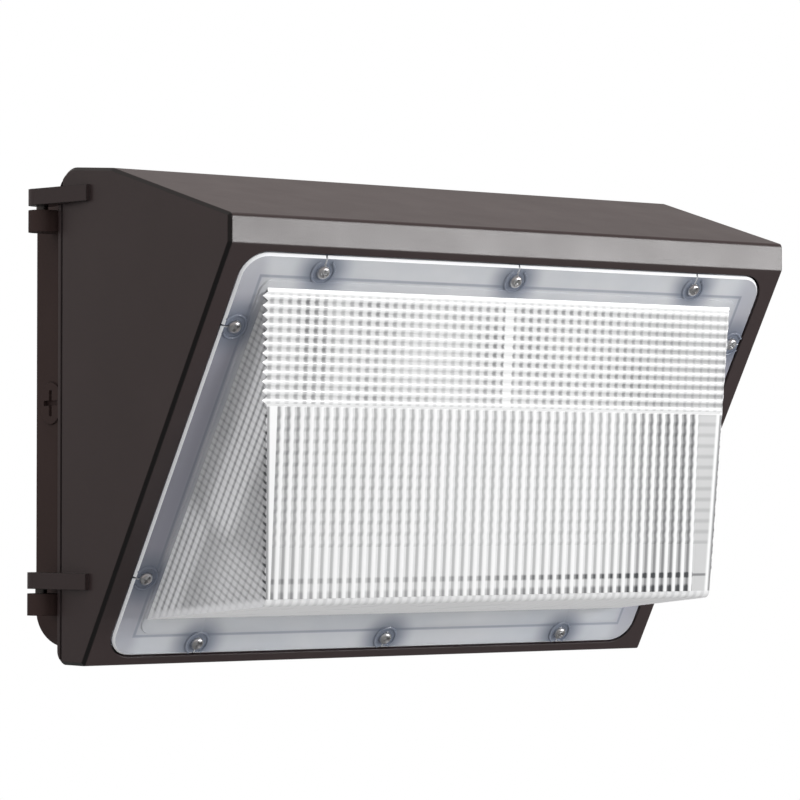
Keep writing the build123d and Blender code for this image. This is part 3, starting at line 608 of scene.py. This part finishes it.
def from_flange_side(tree):
    """Millimetres in from the nearer side edge of the flange."""
    up = distance_along(tree, UP_SLOPE, SILL)
    beside = calc(tree, "ABSOLUTE", distance_along(tree, ACROSS, Vector()))
    side_edge = calc(tree, "MULTIPLY_ADD", up, bezel_half(1) - bezel_half(0), bezel_half(0) - BEZEL_SIDE)
    return calc(tree, "SUBTRACT", side_edge, beside)


def from_flange_end(tree):
    """Millimetres in from the nearer of the flange's upper and lower edges."""
    up = distance_along(tree, UP_SLOPE, SILL)
    from_low = calc(tree, "SUBTRACT", up, BEZEL_BOTTOM)
    from_high = calc(tree, "SUBTRACT", SLOPE_LONG - BEZEL_TOP, up)
    return calc(tree, "MINIMUM", from_low, from_high)


def by_place(tree, pale, side, boss):
    """A pale colour, with painted shade in another colour down the sides of the bezel and in another over
    the bosses.
    """
    off_side = ramp(tree, from_flange_side(tree), *SIDE_FADE)
    halfway = near_level(tree, distance_along(tree, UP_SLOPE, SILL), SLOPE_LONG / 2, SIDE_REACH)
    share = calc(tree, "MULTIPLY", calc(tree, "SUBTRACT", 1.0, off_side), halfway)
    off_boss = ramp(tree, away_from_bosses(tree), *BOSS_FADE_METRES)
    return blend(tree, off_boss, boss, blend(tree, share, pale, side))


# Clear plastics of the lens: shares of light let through, ranges of roughness, and colours
PLASTIC_IOR, PLASTIC_SCALE = 1.5, 60
PRISM_CLEAR, PRISM_ROUGH = 0.15, (0.10, 0.16)
BACK_CLEAR, BACK_ROUGH = 1.0, (0.10, 0.16)
WALL_CLEAR, WALL_ROUGH = 0.12, (0.08, 0.14)
FLOOR_CLEAR, FLOOR_ROUGH, FLOOR_GLOSS = 0.1, (0.25, 0.35), 0.0
FLANGE_CLEAR, FLANGE_ROUGH = 0.55, (0.05, 0.10)
EDGE_CLEAR, EDGE_ROUGH = 0.10, (0.15, 0.25)
PRISM_LIGHT, PRISM_DARK = (0.885, 0.887, 0.89), (0.08, 0.083, 0.088)
BACK_LIGHT, EDGE_LIGHT = (0.98, 0.98, 0.98), (0.95, 0.96, 0.98)
WALL_LIGHT, FLOOR_LIGHT = (0.95, 0.95, 0.97), (0.98, 0.98, 0.985)


def clear_plastic(name, tint, transmission, rough):
    material, tree, shader = new_material(name)
    shader.inputs["Base Color"].default_value = (*tint, 1)
    shader.inputs["Transmission Weight"].default_value = transmission
    shader.inputs["IOR"].default_value = PLASTIC_IOR
    tree.links.new(spread(tree, noise(tree, PLASTIC_SCALE), *rough), shader.inputs["Roughness"])
    return material, tree, shader


def back_plastic():
    """Inner face of the lens's front: clear, a little uneven."""
    return clear_plastic("lens_back", BACK_LIGHT, BACK_CLEAR, BACK_ROUGH)[0]


def edge_plastic():
    """Bevel of the flange: milky white, a painted highlight for the light that runs in the plastic and
    comes out there.
    """
    return clear_plastic("lens_edge", EDGE_LIGHT, EDGE_CLEAR, EDGE_ROUGH)[0]


# Upper front of the lens: painted shade for the refraction of its ribs, as grey cells that join on the
# right, and painted dark columns on the left
LEVEL_GROOVE, COLUMN_GROOVE = (0.22, 0.24), (0.28, 0.18)
LINE_SHADE, CELL_SHADE, CELL_SCALE = 0.15, (0.16, 0.82), 14
JOINED, JOINED_SHARE, RIGHT_PALER = (30.0, 130.0), 0.7, 0.22
DARK_PLACE, DARK_HALF, DARK_COLUMNS = 22.0 - NOSE_HALF, 14.0, 0.22
BAR_FADE = 1.0


def upper_painted_shade(tree, across, down):
    """Painted shade of the grid of level ribs and columns: grey cells between white lines, beside a white
    bar.
    """
    beside = calc(tree, "ABSOLUTE", across)
    level = groove(tree, down, CROSS_START, CROSS_PITCH, *LEVEL_GROOVE)
    column = groove(tree, beside, CENTRE_STRIP / 2, COLUMN_PITCH, *COLUMN_GROOVE)
    lines = calc(tree, "MULTIPLY", calc(tree, "MAXIMUM", level, column), LINE_SHADE)
    join = calc(tree, "MULTIPLY", ramp(tree, across, *JOINED), JOINED_SHARE)
    joined = calc(tree, "MAXIMUM", column, join)
    # Painted shade is paler on the right half than on the left
    paler = calc(tree, "MULTIPLY_ADD", calc(tree, "GREATER_THAN", across, 0.0), -RIGHT_PALER, 1.0)
    patch = calc(tree, "MULTIPLY", spread(tree, noise(tree, CELL_SCALE), *CELL_SHADE), paler)
    cells = calc(tree, "MULTIPLY", calc(tree, "MULTIPLY", level, joined), patch)
    # Painted dark columns of shade near the left edge
    border = calc(tree, "MULTIPLY", near_level(tree, across, DARK_PLACE, DARK_HALF), DARK_COLUMNS)
    dark = calc(tree, "MULTIPLY_ADD", border, column, calc(tree, "ADD", lines, cells))
    off_bar = ramp(tree, beside, CENTRE_STRIP / 2 - BAR_FADE, CENTRE_STRIP / 2)
    below_crown = ramp(tree, down, CROSS_START, CROSS_START + CROSS_PITCH / 2)
    return calc(tree, "MULTIPLY", calc(tree, "MULTIPLY", dark, off_bar), below_crown)


# Lower front of the lens: painted shade for the refraction of its flutes, as stripes with dashes, dark rows
# near the bottom, and painted dark lines at the side edges
STRIPE_GROOVE, LINE_GROOVE, ROW_GROOVE = (0.18, 0.34), (0.66, 0.12), (0.4, 0.1)
STRIPE_SHADE, STRIPE_LINE, LINE_SHIFT, FLUTE_LAST = 0.22, 0.18, 0.9, 1.2
DASH_SHADE, DASH_SCALE, PLAIN_STRIPES, WAVE = (0.02, 0.22), 11, 28.0, 0.16
FLUTE_BORDERS = ((NOSE_HALF, 82.0, 0.32), (-NOSE_HALF, 26.0, 0.14))
BOTTOM_ROWS, BOTTOM_REACH, BOTTOM_LEFT = ((11.9, 1.9, 0.55), (4.6, 3.2, 0.42)), 200.0, 0.45
EDGE_LINE, EDGE_SHADE = 2.0, 0.72
FLAT_SHADE, FLAT_ROW, FLAT_LIGHT = 0.36, 0.14, (2.6, 4.2)
SEAM_RISE, SEAM_HALF, SEAM_SHADE = 11.9, 1.0, 0.42


def wavy_across(tree, across, down, above):
    """Millimetres across, with the slight wave that the rows inside give, by refraction, to the painted
    stripes.
    """
    turns = calc(tree, "MULTIPLY", calc(tree, "SUBTRACT", down, CROSS_END), 2 * math.pi / ROW_PITCH)
    wave = calc(tree, "MULTIPLY", calc(tree, "SINE", turns), calc(tree, "MULTIPLY", above, WAVE))
    return calc(tree, "ADD", across, wave)


def stripe_shade(tree, across, down, wavy, row):
    """How dark the painted stripes of shade are: a line and dashes in each, more at both sides and in the
    bottom rows.
    """
    line = groove(tree, wavy, FLUTE_START + LINE_SHIFT, FLUTE_PITCH, *LINE_GROOVE)
    dashes = calc(tree, "MULTIPLY", row, spread(tree, noise(tree, DASH_SCALE), *DASH_SHADE))
    shade = calc(tree, "MULTIPLY_ADD", line, STRIPE_LINE, calc(tree, "ADD", dashes, STRIPE_SHADE))
    for edge, wide, dark in FLUTE_BORDERS:
        shade = calc(tree, "MULTIPLY_ADD", near_level(tree, across, edge, wide), dark, shade)
    near_right = near_level(tree, across, NOSE_HALF, BOTTOM_REACH)
    rightward = calc(tree, "MULTIPLY_ADD", near_right, 1 - BOTTOM_LEFT, BOTTOM_LEFT)
    for rise, high, dark in BOTTOM_ROWS:
        row_shade = calc(tree, "MULTIPLY", near_level(tree, down, FACE_LONG - rise, high), dark)
        shade = calc(tree, "MULTIPLY_ADD", row_shade, rightward, shade)
    return shade


def edge_shade(tree, across, down, on_flat, row):
    """Painted dark lines of shade along the front's side edges, and painted grey shade on the strip beside
    the last flute on the right.
    """
    half = calc(tree, "MULTIPLY_ADD", down, (NOSE_HALF - TOP_HALF) / FACE_LONG, TOP_HALF)
    from_edge = calc(tree, "SUBTRACT", half, calc(tree, "ABSOLUTE", across))
    edge = near_level(tree, from_edge, 0.0, EDGE_LINE)
    seam = near_level(tree, down, FACE_LONG - SEAM_RISE, SEAM_HALF)
    grey = calc(tree, "MULTIPLY_ADD", row, FLAT_ROW, FLAT_SHADE)
    grey = calc(tree, "MULTIPLY_ADD", seam, SEAM_SHADE, grey)
    on_strip = calc(tree, "MULTIPLY", on_flat, ramp(tree, from_edge, *FLAT_LIGHT))
    return calc(tree, "MULTIPLY_ADD", edge, EDGE_SHADE, calc(tree, "MULTIPLY", on_strip, grey))


def lower_painted_shade(tree, across, down):
    """Painted grey stripes of shade between the flutes, and the painted shades beside them."""
    above = calc(tree, "LESS_THAN", down, FACE_LONG - PLAIN_STRIPES)
    row = calc(tree, "MULTIPLY", groove(tree, down, CROSS_END, ROW_PITCH, *ROW_GROOVE), above)
    wavy = wavy_across(tree, across, down, above)
    on_flat = calc(tree, "GREATER_THAN", across, FLUTE_END - FLUTE_LAST)
    on_flutes = calc(tree, "SUBTRACT", calc(tree, "GREATER_THAN", across, FLUTE_START), on_flat)
    stripe = calc(tree, "MULTIPLY", groove(tree, wavy, FLUTE_START, FLUTE_PITCH, *STRIPE_GROOVE), on_flutes)
    sides = edge_shade(tree, across, down, on_flat, row)
    return calc(tree, "MULTIPLY_ADD", stripe, stripe_shade(tree, across, down, wavy, row), sides)


# Line left free of the painted shade between the upper and the lower front
DIVIDE_HALF = 1.0


def prism_plastic():
    """Front of the lens: milky white, standing in for the lit inside seen through the clear plastic, with
    painted shade for the refraction of its ribs, columns and rows where they cross.
    """
    material, tree, shader = clear_plastic("lens_prisms", PRISM_LIGHT, PRISM_CLEAR, PRISM_ROUGH)
    down = distance_along(tree, FACE_DOWN, CROWN)
    across = distance_along(tree, ACROSS, Vector())
    shade = add(tree, "ShaderNodeMix")
    tree.links.new(calc(tree, "LESS_THAN", down, CROSS_END - DIVIDE_HALF), shade.inputs["Factor"])
    off_divide = ramp(tree, down, CROSS_END, CROSS_END + DIVIDE_HALF)
    tree.links.new(calc(tree, "MULTIPLY", lower_painted_shade(tree, across, down), off_divide), shade.inputs["A"])
    tree.links.new(upper_painted_shade(tree, across, down), shade.inputs["B"])
    colour = blend(tree, shade.outputs["Result"], PRISM_LIGHT, PRISM_DARK)
    tree.links.new(colour, shader.inputs["Base Color"])
    return material


# Side walls of the lens: painted light in a bright band above, a bright heel and a paler field below, and
# painted shade in a lattice and in patches
WALL_GROOVE, PATCH_SHADE, PATCH_SCALE = (0.45, 0.15), (0.50, 0.32), 16
WALL_LINE, BAND_LINE, FAR_LINE = 0.15, 0.36, 0.10
BAND_LIGHT, FAR_LIGHT = 0.42, 0.5
BAND_LEVEL, BAND_HALF, BAND_RUN = 3.0, 17.0, (56.0, 72.0)
HEEL_LEVEL, HEEL_HALF, FAR_FADE = -12.0, 15.0, (2.0, 24.0)
WALL_EDGE, WALL_EDGE_SHADE, WALL_EDGE_CROSS = 3.0, 0.10, 2.0
WALL_FOOT, FOOT_LIGHT = 5.0, 0.8


def wall_light(tree, height, run):
    """Shares of the painted light in the bright band and heel, and in the paler field beyond the heel."""
    upper = ramp(tree, run, *BAND_RUN)
    lower = calc(tree, "SUBTRACT", 1.0, upper)
    band = calc(tree, "MULTIPLY", near_level(tree, height, BAND_LEVEL, BAND_HALF), upper)
    heel = calc(tree, "MULTIPLY", near_level(tree, height, HEEL_LEVEL, HEEL_HALF), lower)
    far = calc(tree, "MULTIPLY", ramp(tree, height, *FAR_FADE), lower)
    return calc(tree, "MAXIMUM", band, heel), far


def wall_plastic(corners):
    """Side walls: milky white, standing in for the lit inside seen through them, with painted shade for the
    refraction of the lattice of ribs outside and inside, in patches, and painted light in its fields.
    """
    material, tree, shader = clear_plastic("lens_walls", WALL_LIGHT, WALL_CLEAR, WALL_ROUGH)
    out, along = corners["out"], corners["along"]
    height = mirrored_along(tree, out.cross(along), ROOT)
    run = mirrored_along(tree, along, ROOT)
    lit, far = wall_light(tree, height, run)
    level = groove(tree, height, 0.0, WALL_PITCH, *WALL_GROOVE)
    level = calc(tree, "MULTIPLY", level, calc(tree, "MULTIPLY_ADD", lit, BAND_LINE, WALL_LINE))
    cross = groove(tree, run, 0.0, INNER_WALL_PITCH, *WALL_GROOVE)
    cross = calc(tree, "MULTIPLY", cross, calc(tree, "MULTIPLY_ADD", far, FAR_LINE, WALL_LINE))
    line = calc(tree, "ADD", level, cross)
    patch = spread(tree, noise(tree, PATCH_SCALE), *PATCH_SHADE)
    bright = calc(tree, "MAXIMUM", lit, calc(tree, "MULTIPLY", far, FAR_LIGHT))
    field = calc(tree, "SUBTRACT", patch, calc(tree, "MULTIPLY", bright, BAND_LIGHT))
    # Painted dark line of shade along the wall's front edge
    edge = near_level(tree, distance_along(tree, FACE_OUT, CROWN), 0.0, WALL_EDGE)
    painted_edge_dark = calc(tree, "MULTIPLY_ADD", cross, WALL_EDGE_CROSS, WALL_EDGE_SHADE)
    edge = calc(tree, "MULTIPLY", edge, painted_edge_dark)
    shade = calc(tree, "ADD", calc(tree, "ADD", line, field), edge)
    # Painted light along the wall's foot
    foot = near_level(tree, distance_along(tree, FLOOR_OUT, NOSE), 0.0, WALL_FOOT)
    shade = calc(tree, "MULTIPLY", shade, calc(tree, "MULTIPLY_ADD", foot, -FOOT_LIGHT, 1.0))
    tree.links.new(blend(tree, shade, WALL_LIGHT, PRISM_DARK), shader.inputs["Base Color"])
    return material


# Bottom wall of the lens: painted strokes and a painted grey shade at the nose
STROKE_GROOVE, STROKE_SHADE, NOSE_SHADE = (0.3, 0.2), 0.14, 0.26


def floor_plastic():
    """Bottom wall: milky white, standing in for the light it lets through, with painted strokes for the
    ribs inside seen through it and a painted grey shade along the front edge.
    """
    material, tree, shader = clear_plastic("lens_floor", FLOOR_LIGHT, FLOOR_CLEAR, FLOOR_ROUGH)
    across = distance_along(tree, ACROSS, Vector())
    stroke = groove(tree, across, 0.0, INNER_FLOOR_PITCH, *STROKE_GROOVE)
    nose = near_level(tree, distance_along(tree, FACE_OUT, CROWN), 0.0, NOSE_R)
    shade = calc(tree, "MULTIPLY_ADD", nose, NOSE_SHADE, calc(tree, "MULTIPLY", stroke, STROKE_SHADE))
    tree.links.new(blend(tree, shade, FLOOR_LIGHT, PRISM_DARK), shader.inputs["Base Color"])
    shader.inputs["Specular IOR Level"].default_value = FLOOR_GLOSS
    return material


# Flange and gasket: pale, with painted shade down the sides and over the bosses
FLANGE_PALE, FLANGE_COOL, FLANGE_SCALE = (0.95, 0.96, 0.985), (0.84, 0.87, 0.92), 26
FLANGE_SIDE_SHADE, FLANGE_BOSS_SHADE = (0.54, 0.54, 0.62), (0.29, 0.33, 0.42)
STEP_LINE, STEP_LINE_HALF, STEP_LINE_SHADE = 11.8, 1.1, 0.55
GASKET_DARK, GASKET_LIGHT, GASKET_ROUGH = (0.90, 0.92, 0.96), (0.93, 0.95, 0.98), (0.5, 0.6)
GASKET_SIDE_SHADE, GASKET_BOSS_SHADE = (0.46, 0.47, 0.54), (0.10, 0.12, 0.17)


def flange_plastic():
    """Flange: smooth and milky, with the painted shade of the gasket under it and a painted dark line of
    shade along its step.
    """
    material, tree, shader = clear_plastic("lens_flange", FLANGE_PALE, FLANGE_CLEAR, FLANGE_ROUGH)
    pale = shade_between(tree, noise(tree, FLANGE_SCALE), FLANGE_COOL, FLANGE_PALE)
    colour = by_place(tree, pale, FLANGE_SIDE_SHADE, FLANGE_BOSS_SHADE)
    from_edge = calc(tree, "MINIMUM", from_flange_side(tree), from_flange_end(tree))
    # Painted dark line of shade along the step
    line = calc(tree, "MULTIPLY", near_level(tree, from_edge, STEP_LINE, STEP_LINE_HALF), STEP_LINE_SHADE)
    tree.links.new(blend(tree, line, colour, FLANGE_BOSS_SHADE), shader.inputs["Base Color"])
    return material


def silicone():
    """Pale gasket, with painted shade down its sides and over the bosses that hold the lens screws."""
    material, tree, shader = new_material("silicone_pale")
    pale = shade_between(tree, noise(tree, BLOTCH_SCALE), GASKET_DARK, GASKET_LIGHT)
    tree.links.new(by_place(tree, pale, GASKET_SIDE_SHADE, GASKET_BOSS_SHADE), shader.inputs["Base Color"])
    tree.links.new(spread(tree, noise(tree, ROUGH_SCALE), *GASKET_ROUGH), shader.inputs["Roughness"])
    return material


def add_lens():
    """The lens in six pieces, which differ in their surface."""
    outer, inner = lens_corners(0.0, FLANGE_BASE), lens_corners(LENS_WALL, FLANGE_BASE)
    front, back, walls, floor, flange, edge = [Skin() for _ in range(6)]
    lens_front(front, outer)
    lens_back(back, inner)
    lens_sides(walls, outer, inner)
    lens_floor(floor, outer, inner)
    lens_flange(flange)
    flange_edge(edge)
    for u, v, way_out in screw_places():
        screw_rim(flange, u, v, way_out)
    surfaces = ((front, prism_plastic()), (back, back_plastic()), (walls, wall_plastic(outer[1])),
                (floor, floor_plastic()), (flange, flange_plastic()), (edge, edge_plastic()))
    for skin, material in surfaces:
        piece = skin.build(material.name, material, "door")
        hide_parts("lens")


# Lens screws with a domed head and a cross recess
HEAD_HIGH, HEAD_STEPS, HEAD_TURN = 2.2, 28, 0.7
HEAD_PROFILE = [(0.3, HEAD_HIGH), (1.6, 2.15), (2.5, 1.9), (3.1, 1.4), (3.4, 0.8), (3.5, 0.3), (3.5, 0.0),
                (2.0, 0.0), (2.0, -8.9), (0.3, -8.9)]
RECESS_LONG, RECESS_WIDE, RECESS_DEEP, RECESS_ABOVE = 4.6, 1.7, 1.9, 0.4
RECESS_FOOT, RECESS_MOUTH = 0.55, 1.1


def lathe(profile):
    """Turned solid about local z, as points and faces."""
    points, faces = [], []
    turns = [2 * math.pi * k / HEAD_STEPS for k in range(HEAD_STEPS)]
    for r, h in profile:
        points += [Vector((r * math.cos(turn), r * math.sin(turn), h)) for turn in turns]
    for i in range(len(profile) - 1):
        low, high = i * HEAD_STEPS, (i + 1) * HEAD_STEPS
        for k in range(HEAD_STEPS):
            right = (k + 1) % HEAD_STEPS
            faces.append((low + k, high + k, high + right, low + right))
    faces += [tuple(range(HEAD_STEPS)), tuple(reversed(range(len(points) - HEAD_STEPS, len(points))))]
    return points, faces


def solid(name, points, faces):
    """Object from points and faces, for cutting."""
    mesh = bpy.data.meshes.new(name)
    mesh.from_pydata(points, [], faces)
    thing = bpy.data.objects.new(name, mesh)
    bpy.context.scene.collection.objects.link(thing)
    return thing


def recess_bar(long, wide):
    """One bar of the cross, narrower at its foot."""
    ends = ((HEAD_HIGH - RECESS_DEEP, RECESS_FOOT), (HEAD_HIGH + RECESS_ABOVE, RECESS_MOUTH))
    corners = [(x * long / 2 * size, y * wide / 2 * size, z) for z, size in ends
               for x, y in ((-1, -1), (1, -1), (1, 1), (-1, 1))]
    faces = [(3, 2, 1, 0), (4, 5, 6, 7), (0, 1, 5, 4), (1, 2, 6, 5), (2, 3, 7, 6), (3, 0, 4, 7)]
    return solid("recess", corners, faces)


def cut_recess(points, faces):
    """The turned head with a tapered cross cut into it, as one mesh."""
    head = solid("screw_head", points, faces)
    bars = [recess_bar(RECESS_LONG, RECESS_WIDE), recess_bar(RECESS_WIDE, RECESS_LONG)]
    for bar in bars:
        cut = head.modifiers.new("recess", "BOOLEAN")
        cut.object = bar
        cut.operation = "DIFFERENCE"
        cut.solver = "EXACT"
    bpy.context.view_layer.update()
    cut_mesh = bpy.data.meshes.new_from_object(head.evaluated_get(bpy.context.evaluated_depsgraph_get()))
    for thing in [head] + bars:
        bpy.data.objects.remove(thing)
    return cut_mesh


def add_lens_screws(material):
    """Ten screws as one piece, each turned further than the one before."""
    cut_mesh = cut_recess(*lathe(HEAD_PROFILE))
    head_points = [vertex.co.copy() for vertex in cut_mesh.vertices]
    head_faces = [tuple(polygon.vertices) for polygon in cut_mesh.polygons]
    skin = Skin()
    for i, (u, v, _) in enumerate(screw_places()):
        turn = HEAD_TURN * i
        start = len(skin.points)
        for point in head_points:
            x = point.x * math.cos(turn) - point.y * math.sin(turn)
            y = point.x * math.sin(turn) + point.y * math.cos(turn)
            skin.points.append(on_bezel(u + x, v + y, FLANGE_TOP + point.z))
        skin.faces += [tuple(start + k for k in face) for face in head_faces]
        skin.smooth += [True] * len(head_faces)
    piece = skin.build("lens_screws_cross", material, "door")
    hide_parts("lens_screws")


# Looks of the solids
PAINT_GRAIN = {"grain": 1600.0, "grain_high": 0.00010, "grain_strength": 0.35}
# Colour of the painted dark line of shade along the door's side edges
PAINTED_EDGE_SHADE = (0.003, 0.0022, 0.002)
BOARD_SIDES = ("left", "middle", "right")

# Plain looks: name, dark shade, light shade, range of roughness, metal, and the nodes that have them
PLAIN_LOOKS = (
    ("dark_steel", (0.10, 0.095, 0.09), (0.15, 0.145, 0.14), (0.3, 0.42), 1.0,
     ["hinge_pin_upper", "hinge_pin_lower"]),
    ("white_paint", (0.88, 0.89, 0.89), (0.92, 0.93, 0.93), (0.35, 0.45), 0.0, ["reflector"]),
    ("aluminium_sheet", (0.70, 0.71, 0.72), (0.80, 0.81, 0.82), (0.3, 0.42), 1.0, ["led_plate"]),
    ("solder_mask", (0.86, 0.87, 0.86), (0.90, 0.91, 0.90), (0.35, 0.5), 0.0,
     ["led_board_" + side for side in BOARD_SIDES]),
    ("phosphor", (0.84, 0.78, 0.56), (0.90, 0.85, 0.64), (0.3, 0.4), 0.0,
     ["led_emitters_" + side for side in BOARD_SIDES]),
    ("nylon", (0.70, 0.69, 0.63), (0.78, 0.77, 0.71), (0.4, 0.55), 0.0,
     ["board_plugs", "latch_ring_upper", "latch_ring_lower"]),
    ("driver_coat", (0.62, 0.63, 0.64), (0.70, 0.71, 0.72), (0.35, 0.45), 0.0, ["driver_case"]),
    ("driver_black", (0.012, 0.012, 0.012), (0.02, 0.02, 0.02), (0.4, 0.55), 0.0,
     ["driver_end_left", "driver_end_right"]),
    ("terminal_cream", (0.66, 0.61, 0.48), (0.74, 0.69, 0.56), (0.4, 0.55), 0.0, ["terminal_block"]),
    ("clamp_brass", (0.55, 0.40, 0.16), (0.68, 0.52, 0.24), (0.25, 0.38), 1.0, ["terminal_clamps"]),
    ("ground_green", (0.010, 0.10, 0.022), (0.016, 0.14, 0.03), (0.35, 0.5), 0.0, ["ground_screw"]),
)


def dress(material, *names):
    """Gives CAD nodes a material in place of their plain one."""
    for name in names:
        for slot in nodes[name].material_slots:
            slot.material = material


def dress_castings():
    """Bronze paint: smoother on the door, with a painted dark line of shade along its side edges, redder
    and duller on the box and its plugs.
    """
    paint = textured("bronze_powder_coat", dark=(0.0305, 0.0200, 0.0200), light=(0.0350, 0.0232, 0.0232),
                     rough=(0.29, 0.33), soft_edge=0.0007, painted_edge_dark=PAINTED_EDGE_SHADE, **PAINT_GRAIN)
    dress(paint, "front_housing")
    box_paint = textured("bronze_box_coat", dark=(0.038, 0.0225, 0.0200), light=(0.0435, 0.0260, 0.0235),
                         rough=(0.55, 0.62), soft_edge=0.0008, specular=0.15, **PAINT_GRAIN)
    dress(box_paint, "back_box", "conduit_plug_left", "conduit_plug_right")


def dress_all():
    dress_castings()
    add_lens()
    dress(silicone(), "lens_gasket")
    sponge = textured("seal_sponge", dark=(0.02, 0.02, 0.02), light=(0.03, 0.03, 0.03),
                      rough=(0.8, 0.9), grain=900.0)
    dress(sponge, "door_seal")
    steel = textured("zinc_steel", dark=(0.62, 0.62, 0.63), light=(0.74, 0.74, 0.74),
                     rough=(0.26, 0.36), metal=1.0)
    add_lens_screws(steel)
    dress(steel, "plate_screws", "board_screws", "driver_screws", "terminal_screws",
          "latch_screw_upper", "latch_screw_lower")
    for name, dark, light, rough, metal, names in PLAIN_LOOKS:
        dress(textured(name, dark, light, rough, metal), *names)


# Studio: pale floor, soft lamps and a white world
SKY_LIGHT, SKY_WHITE, SKY_WARM = 1.0, (1.0, 1.0, 1.0), (1.0, 0.91, 0.885)
SKY_SEEN = {"Is Glossy Ray": 0.4}
GROUND_HALF, GROUND_LEVEL, GROUND_FADE = 12.0, -0.45, (1.0, 2.6)
GROUND_ROUGH, GROUND_BOUNCE = 0.8, 0.45
GROUND_SEEN = {"Is Camera Ray": 0.8, "Is Glossy Ray": 0.15, "Is Transmission Ray": 0.8}
LAMP_TARGET = (0, -0.1, 0)
KEY_LAMP = {"place": (1.25, -1.85, 0.12), "size": (1.3, 0.4), "power": 28.0}
TOP_LAMP = {"place": (0.1, -0.1, 1.6), "size": (1.0, 0.8), "power": 12.0}


def add_lamp(name, place, size, power):
    """Rectangular lamp, turned to the target."""
    data = bpy.data.lights.new(name, "AREA")
    data.shape = "RECTANGLE"
    data.size, data.size_y = size
    data.energy = power
    lamp = bpy.data.objects.new(name, data)
    bpy.context.scene.collection.objects.link(lamp)
    lamp.location = place
    lamp.rotation_euler = (Vector(LAMP_TARGET) - Vector(place)).to_track_quat("-Z", "Y").to_euler()


def by_ray(tree, level, seen):
    """A level for lighting, with other levels where the kinds of ray named see it."""
    path = add(tree, "ShaderNodeLightPath")
    result = level
    for ray, value in seen.items():
        result = calc(tree, "MULTIPLY_ADD", path.outputs[ray], value - level, result)
    return result


def floor_material():
    """Pale floor, which fades for the camera into the white behind it."""
    material, tree, shader = new_material("floor_pale")
    shader.inputs["Roughness"].default_value = GROUND_ROUGH
    tree.links.new(by_ray(tree, GROUND_BOUNCE, GROUND_SEEN), shader.inputs["Base Color"])
    path = add(tree, "ShaderNodeLightPath")
    white = add(tree, "ShaderNodeEmission")
    place = add(tree, "ShaderNodeTexCoord")
    length = add(tree, "ShaderNodeVectorMath", operation="LENGTH")
    fade = add(tree, "ShaderNodeMapRange")
    fade.inputs["From Min"].default_value, fade.inputs["From Max"].default_value = GROUND_FADE
    mix = add(tree, "ShaderNodeMixShader")
    tree.links.new(place.outputs["Object"], length.inputs[0])
    tree.links.new(length.outputs["Value"], fade.inputs["Value"])
    seen = calc(tree, "MULTIPLY", fade.outputs["Result"], path.outputs["Is Camera Ray"])
    tree.links.new(seen, mix.inputs["Fac"])
    tree.links.new(shader.outputs["BSDF"], mix.inputs[1])
    tree.links.new(white.outputs["Emission"], mix.inputs[2])
    tree.links.new(mix.outputs["Shader"], tree.nodes["Material Output"].inputs["Surface"])
    return material


def add_floor():
    mesh = bpy.data.meshes.new("floor")
    signs = ((-1, -1), (1, -1), (1, 1), (-1, 1))
    corners = [(x * GROUND_HALF, y * GROUND_HALF, GROUND_LEVEL) for x, y in signs]
    mesh.from_pydata(corners, [], [(0, 1, 2, 3)])
    floor = bpy.data.objects.new("floor", mesh)
    bpy.context.scene.collection.objects.link(floor)
    mesh.materials.append(floor_material())


def add_world():
    """White world, with softer and warmer reflections."""
    world = bpy.data.worlds.new("studio")
    bpy.context.scene.world = world
    world.use_nodes = True
    tree = world.node_tree
    sky = tree.nodes["Background"]
    path = add(tree, "ShaderNodeLightPath")
    colour = blend(tree, path.outputs["Is Glossy Ray"], SKY_WHITE, SKY_WARM)
    tree.links.new(colour, sky.inputs["Color"])
    tree.links.new(by_ray(tree, SKY_LIGHT, SKY_SEEN), sky.inputs["Strength"])


def add_studio():
    add_floor()
    add_world()
    add_lamp("key", **KEY_LAMP)
    add_lamp("top", **TOP_LAMP)
    bpy.context.scene.view_settings.view_transform = "Standard"


add_camera()
dress_all()
add_studio()
